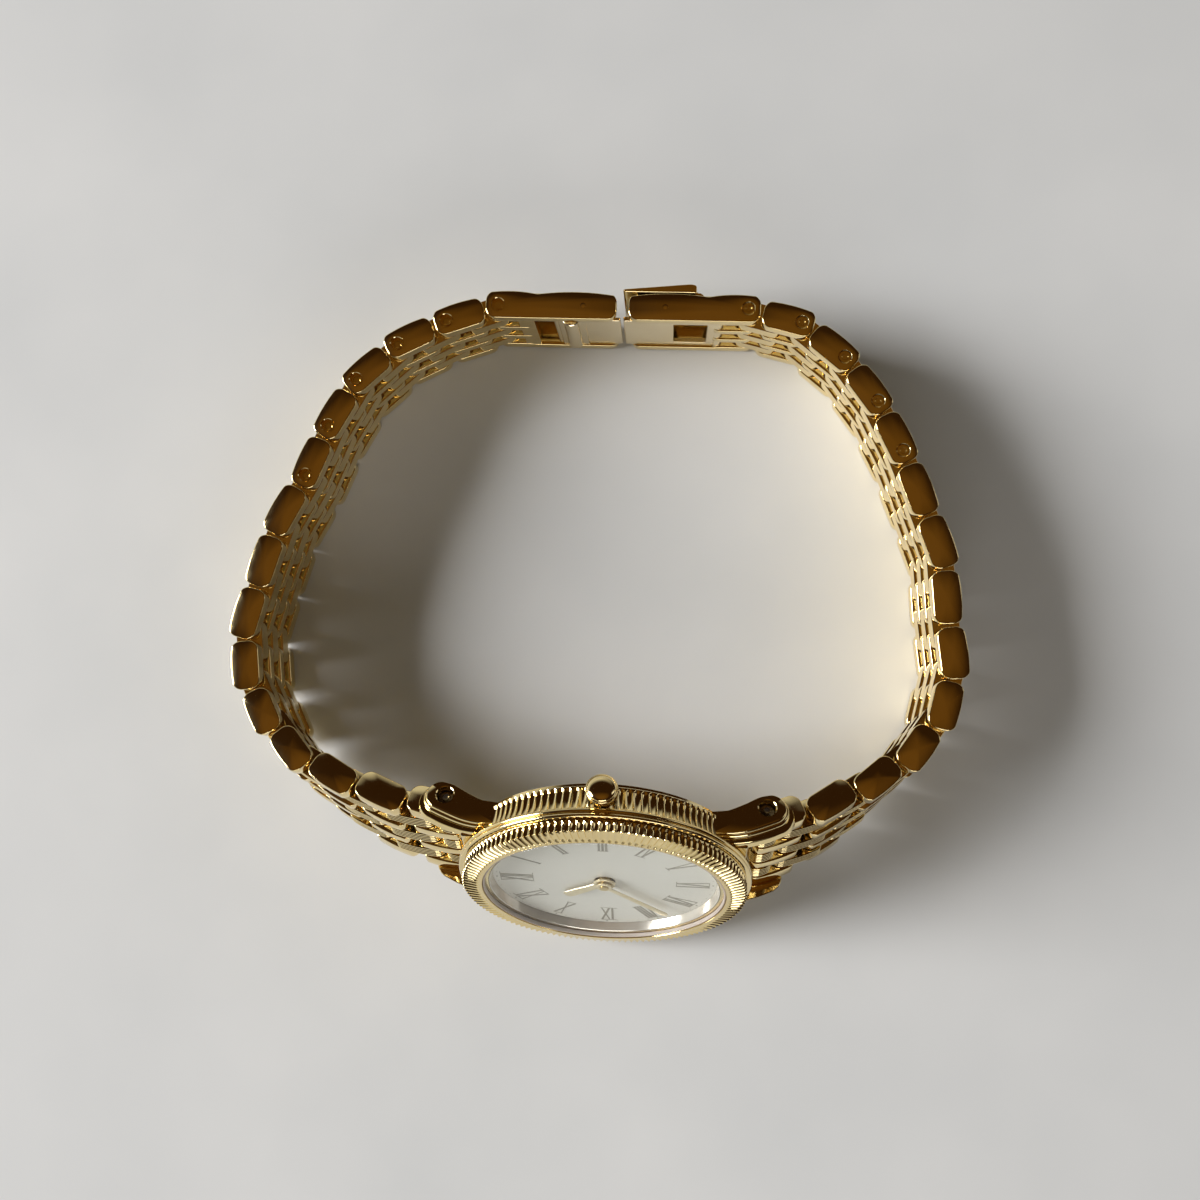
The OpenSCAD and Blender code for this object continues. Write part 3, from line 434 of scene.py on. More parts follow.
# --- Fluted bezel ---------------------------------------------------------
# Gold ring pressed on the case. Hollow flutes run up its wall, round the shoulder
# and over its sloping face, and end in arches below a smooth lip at the crystal.
bezel_radius, bezel_flutes, crystal_radius = 13.0, 132, 10.9
bezel_rear, bezel_shoulder, bezel_front = 4.13, 5.29, 5.5
wall_cut, shoulder_cut, slope_cut = 0.20, 0.18, 0.15
shoulder_round, lip_radius, seat_level = 0.2, 11.28, 5.0
wall_rise = np.array([0, 0.03, 0.07, 0.13, 0.20, 0.28])
rim_wall = [(bezel_radius, bezel_rear + 0.08 + d, wall_cut,
             np.sqrt(max(0, 1 - d / wall_rise[-1]))) for d in wall_rise]
q = np.radians(np.array([0, 18, 36, 54, 70, 82]))
shoulder = [(bezel_radius - 0.22 + 0.22 * c, bezel_shoulder - 0.19 + shoulder_round * s,
             shoulder_cut, 0) for c, s in zip(np.cos(q), np.sin(q))]
slope_run = np.array([0.06, 0.25, 0.5, 0.70, 0.80, 0.86, 0.91, 0.95, 0.98])
slope_start, slope_width, slope_rise, arch_from = 12.78, 1.53, 0.195, 0.74
slope = [(slope_start - slope_width * f, bezel_front - slope_rise + slope_rise * f,
          slope_cut - 0.04 * f, np.sqrt(max(0, (f - arch_from) / (slope_run[-1] - arch_from))))
         for f in slope_run]
lip = [(lip_radius, bezel_front, 0, 1), (lip_radius - 0.08, bezel_front, 0, 1),
       (lip_radius - 0.14, bezel_front - 0.03, 0, 1),
       (lip_radius - 0.16, bezel_front - 0.1, 0, 1), (lip_radius - 0.16, seat_level, 0, 1),
       (bore_radius, seat_level, 0, 1)]
foot = [(bore_radius, bezel_rear, 0, 1), (12.9, bezel_rear, 0, 1),
        (12.98, bezel_rear + 0.04, 0, 1)]
piece("bezel_fluted", [fluted_turning(foot + rim_wall + shoulder + slope + lip, bezel_flutes)],
      head, yellow_gold, "head", "yellow_gold", "fluted_bezel", sharp=36.0)

# --- Case back ------------------------------------------------------------
# Plain polished gold cover, coned towards the case and snapped into its rear.
back_rear, back_inner, flat_radius, cone_radius, cone_front = -0.90, -0.30, 8.45, 11.35, 0.12
piece("case_back_polished", [turned([
    (0.02, back_rear), (flat_radius, back_rear), (flat_radius + 0.25, back_rear + 0.03),
    (flat_radius + 0.45, back_rear + 0.11), (cone_radius - 0.1, cone_front - 0.05),
    (cone_radius, cone_front), (cone_radius - 0.9, cone_front), (flat_radius + 0.7, back_inner),
    (0.02, back_inner)])],
    head, yellow_gold, "head", "yellow_gold", "case_back")

# --- Crown ----------------------------------------------------------------
# Smooth domed gold cap on the winding stem, with a bright rim at its foot.
stem_level, crown_base, crown_radius, crown_step = 1.95, 12.85, 1.38, 0.75
crown_bore, crown_neck = 0.95, 1.22
# A turned piece laid over, so that its axis runs along y of its carrier.
laid_over = np.array([[1.0, 0, 0, 0], [0, 0, 1, 0], [0, -1, 0, 0], [0, 0, 0, 1]])
crown_place = laid_over.copy()
crown_place[:3, 3] = (0, crown_base, stem_level)
a = np.linspace(0, np.pi / 2, 16)
dome = np.stack([0.02 + 1.26 * np.cos(a) ** 0.85, crown_step + 0.7 + 0.5 * np.sin(a)], -1)
crown_profile = np.vstack([
    [(crown_bore, 0.0), (crown_neck - 0.05, 0.0), (crown_neck, 0.05), (crown_neck, 0.68),
     (crown_neck + 0.05, 0.74), (crown_radius - 0.03, 0.77), (crown_radius, 0.84),
     (crown_radius, 1.33), (crown_radius - 0.03, 1.40), (crown_radius - 0.06, 1.43)],
    dome, [(0.02, 0.8), (crown_bore, crown_step)]])
piece("crown_domed", [turned(crown_profile, 120)], head @ crown_place, yellow_gold, "crown",
      "yellow_gold", "crown", sharp=28.0)

# --- Dial -----------------------------------------------------------------
# Thin metal disc with silver-white lacquer and a very fine brushing.
dial_top, dial_under, dial_hole, dial_radius = 4.15, 3.8, 0.95, bore_radius - 0.05
t = np.linspace(0, 1, 24)
dial_profile = np.vstack([
    np.stack([dial_hole + (dial_radius - dial_hole) * t, np.full(24, dial_top)], -1),
    [(dial_radius, dial_under), (dial_hole, dial_under)]])
lacquer = Finish("silver_white_lacquer", Roughness=0.42, Metallic=0.15)
grain = lacquer.add("TexNoise", Vector=lacquer.place(700.0, 700.0, 700.0), Scale=4.0, Detail=3.0)
wide = lacquer.add("TexNoise", Vector=lacquer.place(80.0, 80.0, 80.0), Scale=1.5, Detail=1.0)
lacquer.feed("Base Color", lacquer.add("ValToRGB", {"stops": [
    (0.25, (0.78, 0.75, 0.67, 1)), (0.75, (0.88, 0.85, 0.77, 1))]}, Fac=grain * 0.4 + wide * 0.6))
lacquer.feed("Roughness", grain * 0.12 + 0.36)
lacquer.bump(grain, 0.15, 0.00001)
piece("dial_disc", [turned(dial_profile)], head, lacquer, "head", "dial_white", "dial")

# --- Hour marks -----------------------------------------------------------
# Long slim Roman numerals set radially, with small serifs, and square minute dots
# at the edge, all thin grey-gold pieces with a slight edge.
ink, _ = mottled("grey_gold_print", (0.34, 0.31, 0.25), (0.46, 0.42, 0.34), 600.0,
                 Roughness=0.4, Metallic=0.3)


def bar(cx, cy, tilt, width, length, low, high):
    """A flat bar: a box with its upper edges drawn in, turned by tilt in degrees."""
    q = np.radians(tilt)
    turn = np.array([[np.cos(q), -np.sin(q)], [np.sin(q), np.cos(q)]])
    corner = np.array([[-1, -1], [1, -1], [1, 1], [-1, 1]]) * 0.5
    rings = []
    for z, d in ((low, 0.0), (high - 0.006, 0.0), (high, 0.012)):
        flat = (corner * (width - 2 * d, length - 2 * d)) @ turn.T + (cx, cy)
        rings.append(np.column_stack([flat, np.full(4, z)]))
    return skin(rings)


# Strokes of each numeral: tilt in degrees and offset in millimetres.
numerals = {1: [(0, 0)], 2: [(0, -0.17), (0, 0.17)], 3: [(0, -0.32), (0, 0), (0, 0.32)],
            4: [(0, -0.5), (7, -0.08), (-7, 0.28)], 5: [(7, -0.18), (-7, 0.18)],
            6: [(7, -0.33), (-7, 0.03), (0, 0.5)],
            7: [(7, -0.5), (-7, -0.14), (0, 0.3), (0, 0.6)],
            8: [(7, -0.65), (-7, -0.29), (0, 0.12), (0, 0.42), (0, 0.72)],
            9: [(0, -0.55), (14, 0.1), (-14, 0.1)], 10: [(14, 0), (-14, 0)],
            11: [(14, -0.2), (-14, -0.2), (0, 0.5)],
            12: [(14, -0.35), (-14, -0.35), (0, 0.3), (0, 0.6)]}
mark_low, mark_high, mark_reach, mark_length = dial_top + 0.004, dial_top + 0.024, 8.1, 3.0
broad_stroke, slim_stroke, serif, dot_reach, steep = 0.20, 0.12, 0.07, 9.95, 14
marks = []
for hour, strokes in numerals.items():
    q = np.radians(180 - 30 * hour)
    out, across = np.array([np.cos(q), np.sin(q)]), np.array([-np.sin(q), np.cos(q)])
    for tilt, offset in strokes:
        c = mark_reach * out - offset * across
        thick = broad_stroke if tilt <= 0 else slim_stroke
        marks.append(bar(*c, 90 - 30 * hour + tilt, thick, mark_length, mark_low, mark_high))
    lean_out = max(abs(tilt) for tilt, _ in strokes)
    spans = [o for _, o in strokes]
    for end in (-0.5, 0.5):
        c = (mark_reach + end * mark_length) * out - (max(spans) + min(spans)) / 2 * across
        broad = max(spans) - min(spans) + 0.36 + (0.6 if lean_out == steep else 0.0)
        marks.append(bar(*c, 90 - 30 * hour, broad, serif, mark_low, mark_high - 0.002))
for minute in range(60):
    q = np.radians(6 * minute)
    size = 0.16 if minute % 5 == 0 else 0.07
    marks.append(bar(dot_reach * np.cos(q), dot_reach * np.sin(q), 6 * minute, size, size,
                     mark_low, mark_high))
piece("hour_numerals", marks, head, ink, "head", "mark_grey", "hour_marks")

# --- Hands ----------------------------------------------------------------
# Two pale gold baton hands with a ridge along the middle: a broad hour hand and
# a long slim minute hand, pressed on the pipes of the motion work.
pale_gold = gold_finish("polished_pale_gold", (0.92, 0.80, 0.55), 0.24, 0.4)
hand_gold, soft = mottled("satin_hand_gold", (0.78, 0.66, 0.42), (0.86, 0.75, 0.52), 500.0,
                          Metallic=0.55)
hand_gold.feed("Roughness", soft * 0.1 + 0.28)


def hand(tip, tail, wide_root, wide_tip, level, angle, pipe, boss):
    """A baton along its own line: each cross-section is a low roof, whose width
    grows from wide_root to wide_tip before the blunt end."""
    along = np.array([-tail, -tail + 0.05, -0.3, 0.9, tip * 0.5, tip - 0.4, tip - 0.04, tip])
    half = np.array([wide_root * 0.6, wide_root * 0.7, wide_root * 0.8, wide_root,
                     (wide_root + wide_tip) / 2, wide_tip, wide_tip * 0.75, wide_tip * 0.5]) / 2
    q = np.radians(180 - angle)
    turn = np.array([[np.cos(q), -np.sin(q)], [np.sin(q), np.cos(q)]])
    across = np.array([[-1, 0.03], [-0.94, 0.09], [0, 0.13], [0.94, 0.09], [1, 0.03], [0, 0.02]])
    grid = np.array([np.column_stack([np.full(6, x), w * across[:, 0], level + across[:, 1]])
                     for x, w in zip(along, half)])
    grid[..., :2] = grid[..., :2] @ turn.T
    ring = turned([(pipe, level + 0.01), (boss, level + 0.01), (boss, level + 0.13),
                   (boss - 0.05, level + 0.16), (pipe, level + 0.16)], 64)
    return [skin(grid), ring]


hour_length, hour_level, hour_angle, hour_pipe = 4.7, 4.4, 321, 0.72
minute_length, minute_level, minute_angle, minute_pipe = 8.5, 4.7, 227, 0.42
piece("hour_baton", hand(hour_length, 0.85, 0.90, 1.20, hour_level, hour_angle, hour_pipe, 1.0),
      head, hand_gold, "hour_train", "pale_gold", "hour_hand", sharp=12.0)
piece("minute_baton", hand(minute_length, 0.6, 0.50, 0.62, minute_level, minute_angle,
                           minute_pipe, 0.72),
      head, hand_gold, "minute_train", "pale_gold", "minute_hand", sharp=12.0)

# --- Rehaut ---------------------------------------------------------------
# Polished steel ring between dial and crystal that mirrors the dial's edge.
bright_steel, fine = mottled("bright_steel", (0.76, 0.69, 0.59), (0.84, 0.77, 0.67), 500.0, 3.0,
                             Metallic=0.62)
bright_steel.feed("Roughness", fine * 0.1 + 0.10)
bright_steel.bump(fine, 0.1, 0.00001)
rehaut_rear, rehaut_front, rehaut_radius = 4.18, 4.99, 10.55
piece("rehaut_turned", [turned([
    (rehaut_radius - 0.3, rehaut_rear), (rehaut_radius - 0.28, rehaut_rear + 0.03),
    (rehaut_radius - 0.06, rehaut_front - 0.04), (rehaut_radius, rehaut_front),
    (rehaut_radius, rehaut_rear)])],
    head, bright_steel, "head", "steel", "rehaut")

# --- Crystal --------------------------------------------------------------
# Flat glass disc with a bevelled edge that stands slightly proud of the bezel.
glass = Finish("clear_glass", Roughness=0.02, Metallic=0.0)
clear = glass.add("BsdfTransparent", Color=(0.97, 0.98, 0.98, 1))
shine = glass.add("BsdfGlossy", Color=(1, 1, 1, 1), Roughness=0.015)
smear = glass.add("TexNoise", Vector=glass.place(60.0, 60.0, 60.0), Scale=1.0, Detail=1.0)
tilt = glass.add("Fresnel", IOR=1.45)
facing = 1 - glass.add("NewGeometry", out=6)
mixed = glass.add("MixShader", {}, _0=((tilt * 0.5 + smear * 0.01) * facing).clipped(),
                  _1=clear, _2=shine)
glass.tree.links.new(mixed.socket, glass.tree.nodes["Material Output"].inputs["Surface"])
crystal_under, crystal_top = 5.06, 5.56
t = np.linspace(0, 1, 10)
top = np.stack([0.02 + (crystal_radius - 0.3) * t, crystal_top - 0.02 * t * t], -1)
bevel = [(crystal_radius - 0.16, crystal_top - 0.05), (crystal_radius - 0.02, crystal_top - 0.13),
         (crystal_radius, crystal_top - 0.17), (crystal_radius, crystal_under),
         (0.02, crystal_under)]
piece("crystal_disc", [turned(np.vstack([top, bevel]))], head, glass, "head", "glass", "crystal")

# --- Crystal gasket -------------------------------------------------------
# Thin white plastic ring that grips the crystal; it shows as a pale pinkish rim.
gasket, mottle = mottled("white_gasket", (0.46, 0.38, 0.33), (0.56, 0.48, 0.43), 200.0)
gasket.feed("Roughness", mottle * 0.1 + 0.3)
gasket_inner, gasket_outer, gasket_top = crystal_radius + 0.03, crystal_radius + 0.19, 5.40
piece("gasket_ring", [turned([
    (gasket_inner, crystal_under), (gasket_inner, gasket_top - 0.04),
    (gasket_inner + 0.03, gasket_top), (gasket_outer - 0.04, gasket_top),
    (gasket_outer, gasket_top - 0.05), (gasket_outer, crystal_under)])],
    head, gasket, "head", "white_plastic", "crystal_gasket")


# --- Spring bars ----------------------------------------------------------
# Two steel bars through the lugs and end links, their steel painted dark as painted
# shade for the deep lug holes; their shouldered ends lie at the bottom of the lug holes.
def rod(radii, x=0.0, z=0.0, count=40):
    """A rod across its carrier from (place, radius) steps."""
    v, f = turned([(0.005, radii[0][0])] + [(r, y) for y, r in radii] + [(0.005, radii[-1][0])],
                  count)
    v = v @ laid_over[:3, :3].T
    return v + (x, 0, z), f


shoulder_at, bar_body, bar_tip = lug_gap / 2 + lug_thickness - 0.9, 0.72, 0.3
bar_end = [(shoulder_at - 0.06, bar_body), (shoulder_at, bar_body - 0.06), (shoulder_at, bar_tip),
           (shoulder_at + 0.44, bar_tip), (shoulder_at + 0.5, bar_tip - 0.06)]
bar_steps = [(-y, r) for y, r in bar_end[::-1]] + bar_end
# Steel colour painted dark: painted shade standing in for the deep lug holes.
painted_shade_steel, dull = mottled("spring_bars_painted_shade", (0.26, 0.23, 0.20), (0.34, 0.31, 0.27), 500.0,
                          Metallic=1.0)
painted_shade_steel.feed("Roughness", dull * 0.1 + 0.22)
piece("spring_bar_pair", [rod(bar_steps, s * bar_reach) for s in (-1, 1)], head, painted_shade_steel,
      "head", "steel", "spring_bars")

# --- Bracelet links -------------------------------------------------------
# Each link is seven gold bars side by side on two pressed pins: smooth outer bars,
# two narrow smooth bars in line with them, and three finely fluted bars set half
# a pitch further on, which carry the next link's pin.
link_pitch, link_thickness = 5.28, 2.7
width_at_head, width_at_clasp = 11.9, 9.9
side_gap, end_gap, pin_radius, pin_head = 0.2, 0.26, 0.34, 0.6
outer_wide, narrow_wide, fluted_wide, shown_pins_from = 1.55, 1.14, 1.8, 9
clasp_length, clasp_middle, clasp_gap = 11.55, -0.3, 1.16
settle_lean = 0.9
left_headings = (11, 24, 30, 49, 62, 83, 104, 106, 117, 111, 118, 136, 152, 160)
right_headings = (22, 35, 41, 55, 77, 98, 95, 111, 112, 117, 127, 141, 166)
quarter, half_thick, bar_round = link_pitch / 4, link_thickness / 2, 0.36 * link_thickness
sides = ((-1, "left"), (1, "right"))
clasp_depth = 9.632 * link_pitch
arc = head_lean - np.radians(settle_lean)
drop = head_height - width_at_clasp / 2 - 0.41 - clasp_depth * np.sin(np.radians(settle_lean))
lean_reach = drop / (arc / 3 - arc ** 3 / 42) - 0.74 * link_pitch


def directions(side, heading, lean):
    """Along the bracelet, out of the loop, and up across it, for one link."""
    h, t = np.radians(heading), np.radians(lean)
    return (np.array([side * np.cos(h), np.sin(h) * np.cos(t), -np.sin(h) * np.sin(t)]),
            np.array([side * np.sin(h), -np.cos(h) * np.cos(t), np.cos(h) * np.sin(t)]),
            np.array([0, np.sin(t), np.cos(t)]))


def walk(side, headings):
    """Hinge point, heading and lean of each link, from the head to the clasp. The
    lean falls off as the square of what is left of the way over which it is lost."""
    point, run, links = np.array([side * bar_reach, 0, head_height]), 0.0, []
    for heading in headings:
        lean = settle_lean + np.degrees(arc) * max(0.0, 1 - run / lean_reach) ** 2
        links.append((point, heading, lean))
        point = point + link_pitch * directions(side, heading, lean)[0]
        run += link_pitch * np.sin(np.radians(heading))
    return links + [(point, 180.0, settle_lean)]


def closed(side, headings, goal):
    """Turns the headings a little until the chain ends at the clasp."""
    k = np.linspace(0, 1, len(headings))
    mix = np.zeros(2)
    end = lambda m: walk(side, np.array(headings) + m[0] * k + m[1] * (1 - k))[-1][0][:2]
    for _ in range(5):
        f = end(mix)
        slope = np.stack([(end(mix + d) - f) * 2 for d in np.eye(2) * 0.5], -1)
        mix = mix + np.linalg.solve(slope, np.array(goal) - f)
    return walk(side, np.array(headings) + mix[0] * k + mix[1] * (1 - k))


reach = clasp_gap / 2 + clasp_length
chains = {-1: closed(-1, left_headings, (clasp_middle - reach, clasp_depth)),
          1: closed(1, right_headings, (clasp_middle + reach, clasp_depth))}


def link_place(side, k):
    """Frame of link k: x along the bracelet, y across it, z out of the loop."""
    point, heading, lean = chains[side][k]
    u, n, z = directions(side, heading, lean)
    place = np.eye(4)
    place[:3, 0], place[:3, 1], place[:3, 2] = u, side * z, n
    place[:3, 3] = point - middle
    return place


def half_width(side, k):
    """Half the bracelet's width at link k; it narrows evenly to the clasp."""
    n = len(chains[side]) - 1
    return (width_at_head + (width_at_clasp - width_at_head) * k / n) / 2


def unit(side, k):
    """Width unit of the bars of link k, from half the bracelet less its gaps."""
    return (half_width(side, k) - 3 * side_gap) / (outer_wide + narrow_wide + 1.5 * fluted_wide)


def narrow_at(a):
    """How far a narrow bar lies from the middle."""
    return (fluted_wide + narrow_wide) / 2 * a + side_gap


def fluted_at(a):
    """How far an outer fluted bar lies from the middle."""
    return (fluted_wide + narrow_wide) * a + 2 * side_gap


def skew(side, k):
    """How far link k + 1 is twisted and bent sideways against link k."""
    if k < 0 or k + 1 >= len(chains[side]):
        return 0.0, 0.0
    a, b = chains[side][k], chains[side][k + 1]
    u, n, m = directions(side, a[1], a[2])
    v, _, z = directions(side, b[1], b[2])
    return abs(z @ n), max(abs(z @ u), abs(m @ v))


def trim(side, k):
    """Length cut from the bars' ends, per width, so that bent links stay clear."""
    return skew(side, k)[1] / 2


def pill(x0, x1, t, d, count=64, valley=None):
    """Side outline of a bar inset by d: straight inside, round corners, and an
    outer face crowned by a large circle, or by two that meet at valley. The points
    go once round."""
    x0, x1, t, r = x0 + d, x1 - d, t - d, max(bar_round - d, 0.05)
    q = np.linspace(0, np.pi / 2, count // 8)
    corner = lambda cx, cz, start: np.stack([cx + r * np.cos(q + start),
                                             cz + r * np.sin(q + start)], -1)
    along = np.linspace(0, 1, count // 4 + 2)[1:-1]
    top = np.stack([x1 - r + (x0 - x1 + 2 * r) * along, np.full(len(along), t)], -1)
    low = np.stack([x0 + r + (x1 - x0 - 2 * r) * along, np.full(len(along), -t)], -1)
    p = np.vstack([corner(x1 - r, t - r, 0), top, corner(x0 + r, t - r, np.pi / 2),
                   corner(x0 + r, -t + r, np.pi), low, corner(x1 - r, -t + r, 1.5 * np.pi)])
    spans = [(x0, x1)] if valley is None else [(x0, valley), (valley, x1)]
    roofs = [t - 3.1 * (b - a) + np.sqrt(np.maximum(
        (3.1 * (b - a)) ** 2 - (p[:, 0] - (a + b) / 2) ** 2, 0)) for a, b in spans]
    p[:, 1] = np.minimum(p[:, 1], np.max(roofs, 0))
    return p


def side_by_side(rows):
    """One solid from (y, outline in x and z) rows set one after another along y."""
    return skin(np.array([np.stack([o[:, 0], np.full(len(o), y), o[:, 1]], -1)
                          for y, o in rows]))


def smooth_bar(x0, x1, t, y0, y1, bevel, hole=None, valley=None):
    """A bar as outlines side by side with rounded rims; hole = (radius, depth, end)
    sinks a round hole at x = 0 into one end."""
    steps = [(0.0, bevel), (0.25 * bevel, 0.5 * bevel), (0.6 * bevel, 0.15 * bevel),
             (1.2 * bevel, 0.0)]
    side = lambda d: pill(x0, x1, t, d, 64 if valley is None else 176, valley)
    rows = [(y0 + y, side(d)) for y, d in steps]
    rows += [(y1 - y, side(d)) for y, d in steps[::-1]]
    if hole:
        radius, depth, end = hole
        base = rows[0 if end < 0 else -1]
        ring = lambda q: circle_like(base[1], np.zeros(2), q)
        y = base[0]
        sunk = [(y, ring(radius + 0.04)), (y - end * 0.04, ring(radius)),
                (y - end * depth, ring(radius)), (y - end * depth, ring(0.02))]
        rows = sunk[::-1] + rows if end < 0 else rows + sunk
    return side_by_side(rows)


def fluted_bar(x0, x1, t, y0, y1, lines=5, groove=0.10):
    """A bar whose outer face carries fine grooves along it: each outline across
    it is inset where a groove runs, only on its outer half."""
    per_line = 5
    u = np.linspace(0, 1, lines * per_line + 1)
    sink = groove * (1 - np.abs(np.sin(np.pi * lines * u)) ** 0.7)
    rows = []
    for y, d in zip(y0 + 0.04 + (y1 - y0 - 0.08) * u, sink):
        flat, deep = pill(x0, x1, t, 0.0, 48), pill(x0, x1, t, d, 48)
        mix = np.clip(flat[:, 1:] / t + 0.6, 0, 1)
        rows.append((y, flat * (1 - mix) + deep * mix))
    edge = pill(x0, x1, t, 0.08, 48)
    return side_by_side([(y0, edge)] + rows + [(y1, edge)])


def plain_bars(side, k, x_start=None):
    """The two outer and two narrow bars of link k, with the pin holes that show."""
    w, a = half_width(side, k), unit(side, k)
    x0, x1 = -quarter + end_gap / 2, 3 * quarter - end_gap / 2
    c, slim = narrow_at(a), narrow_wide / 2 * a
    solids = []
    for s in (-1, 1):
        y0, y1 = sorted((s * w, s * (w - outer_wide * a)))
        hole = (pin_head + 0.03, 0.9, s) if k >= shown_pins_from and s * side > 0 else None
        for far, low, high, bevel, sunk in ((w, y0, y1, 0.10, hole),
                                            (c, s * c - slim, s * c + slim, 0.07, None)):
            start = x0 + far * trim(side, k - 1) if x_start is None else x_start
            solids.append(smooth_bar(start, x1 - far * trim(side, k), half_thick, low, high,
                                     bevel, sunk))
    return solids


def fluted_bars(side, k, start=None):
    """The three fluted bars of link k, slimmed where the next link is twisted."""
    a = unit(side, k + 0.5)
    twist, bend = skew(side, k)
    slim = max(0.0, half_thick * twist + quarter * bend - 0.1)
    solids = []
    for s in (-1, 0, 1):
        c = s * fluted_at(a)
        far = abs(c) + fluted_wide / 2 * a
        x0 = (quarter + end_gap / 2 if start is None else start) + far * trim(side, k - 1)
        solids.append(fluted_bar(x0, 5 * quarter - end_gap / 2 - far * trim(side, k),
                                 half_thick - 0.06, c - fluted_wide / 2 * a + slim,
                                 c + fluted_wide / 2 * a - slim))
    return solids


def pins(side, k, both=True):
    """Hinge pin and fixed pin; on the crown side near the clasp the hinge pin's
    end shows as a ring on the right, and deep in its open hole on the left."""
    w = half_width(side, k) - 0.42
    solids = []
    if both:
        solids.append(rod([(-w, pin_radius - 0.04), (-w + 0.04, pin_radius),
                           (w - 0.04, pin_radius), (w, pin_radius - 0.04)]))
        if k >= shown_pins_from and side > 0:
            solids.append(rod([(w - 0.42, pin_head), (w + 0.28, pin_head),
                               (w + 0.34, pin_head - 0.06), (w + 0.34, 0.3), (w + 0.28, 0.26)]))
    if k < len(chains[side]) - 1:
        solids.append(rod([(-w, pin_radius), (w, pin_radius)], 2 * quarter))
    return solids


for side, word in sides:
    for k in range(1, len(chains[side]) - 1):
        node = "link_%s_%02d" % (word, k)
        piece(node + "_bars", plain_bars(side, k) + fluted_bars(side, k) + pins(side, k),
              link_place(side, k), yellow_gold, node, "yellow_gold", node, sharp=38.0)

# --- End links ------------------------------------------------------------
# The first link on each side is a block turned round the spring bar, with the
# same row of bars growing out of it.
for side, word in sides:
    node = "end_link_" + word
    w, a = half_width(side, 0), unit(side, 0)
    bore, barrel_radius, block_start = lug_hole + 0.02, 1.1, -1.2
    barrel = turned([(bore, 0.1 - w), (barrel_radius, 0.1 - w), (barrel_radius, w - 0.1),
                     (bore, w - 0.1)], 60)
    solids = [(barrel[0] @ laid_over[:3, :3].T, barrel[1])] + plain_bars(side, 0, block_start)
    for s in (-1, 0, 1):
        c = s * fluted_at(a)
        solids.append(fluted_bar(block_start - 0.1, quarter - 0.1, half_thick - 0.06,
                                 c - fluted_wide / 2 * a, c + fluted_wide / 2 * a))
    solids += fluted_bars(side, 0, quarter + 0.05) + pins(side, 0, False)
    piece(node + "_block", solids, link_place(side, 0), yellow_gold, node, "yellow_gold", node,
          sharp=38.0)


# --- Clasp halves ---------------------------------------------------------
# Each half is a hollow gold housing that starts like a link, with its bars and
# hinge pin, and opens on the inner side for the folding parts.
tab_pin, blade_pin, cover_pin = np.array([0.485, 0.238, 0.407]) * clasp_length
wall, bars_end, roof_rear, roof_front = 1.05, 3.5, 0.15, half_thick - 0.15
valley_at, rivet_left, rivet_right = 3.4, 8.3, 8.0


def round_box(x0, x1, y0, y1, r, d, count=7):
    """Rectangle with round corners in x and y, inset by d."""
    x0, x1, y0, y1, r = x0 + d, x1 - d, y0 + d, y1 - d, max(r - d, 0.02)
    q = np.linspace(0, np.pi / 2, count)
    turn = lambda cx, cy, s: np.stack([cx + r * np.cos(q + s), cy + r * np.sin(q + s)], -1)
    return np.vstack([turn(x1 - r, y1 - r, 0), turn(x0 + r, y1 - r, np.pi / 2),
                      turn(x0 + r, y0 + r, np.pi), turn(x1 - r, y0 + r, 1.5 * np.pi)])


def slab(x0, x1, y0, y1, z0, z1, r=0.15, b=0.06, window=None):
    """A plate with small bevels; window is a second, smaller rectangle cut through."""
    level = lambda o, z: np.column_stack([o, np.full(len(o), z)])
    steps = ((z0, b), (z0 + b, 0.0), (z1 - b, 0.0), (z1, b))
    rows = [level(round_box(x0, x1, y0, y1, r, d), z) for z, d in steps]
    if window is None:
        return skin(np.array(rows))
    rows += [level(round_box(*window, r, -d), z) for z, d in steps[::-1]]
    return skin(np.array(rows), "loop")


def clasp_solids(side):
    """Side walls, the first bars, the roof plates, the pin and the rivets of a half."""
    k = len(chains[side]) - 1
    w, a, t = half_width(side, k), unit(side, k), half_thick
    x0 = -quarter + end_gap / 2
    solids = []
    for s in (-1, 1):
        hole = (pin_head + 0.03, 0.9, s) if s * side > 0 else None
        low, high = sorted((s * w, s * (w - wall)))
        solids.append(smooth_bar(x0 + w * trim(side, k - 1), clasp_length, t, low, high, 0.10,
                                 hole, valley_at))
        low, high = sorted((s * (w - wall + 0.1), s * (w - outer_wide * a)))
        solids.append(smooth_bar(x0 + w * trim(side, k - 1), bars_end, t, low, high, 0.10))
        c, slim = s * narrow_at(a), narrow_wide / 2 * a
        solids.append(smooth_bar(x0, bars_end, t, c - slim, c + slim, 0.07))
        rivet = [(s * w - s * 0.02, 0.26), (s * w + s * 0.015, 0.26), (s * w + s * 0.03, 0.22)]
        solids.append(rod(rivet[::s], rivet_left if side < 0 else rivet_right))
    solids.append(slab(quarter + 0.55, bars_end - 0.05, -w + 0.1, w - 0.1,
                       -t + 0.05 if side < 0 else roof_rear, t - 0.35))
    solids.append(slab(bars_end - 0.3, clasp_length - 0.7, -w + 0.2, w - 0.2, roof_rear,
                       roof_front))
    fixed = w - 0.42
    solids.append(rod([(-fixed, pin_radius), (fixed, pin_radius)]))
    if side > 0:
        solids.append(rod([(w - 0.88, pin_head), (w - 0.14, pin_head),
                           (w - 0.08, pin_head - 0.06), (w - 0.08, 0.3), (w - 0.14, 0.26)]))
    return solids


clasp = {side: link_place(side, len(chains[side]) - 1) for side in (-1, 1)}
for side, word in sides:
    piece("clasp_%s_housing" % word, clasp_solids(side), clasp[side], yellow_gold,
          "clasp_" + word, "yellow_gold", "clasp_" + word, sharp=38.0)

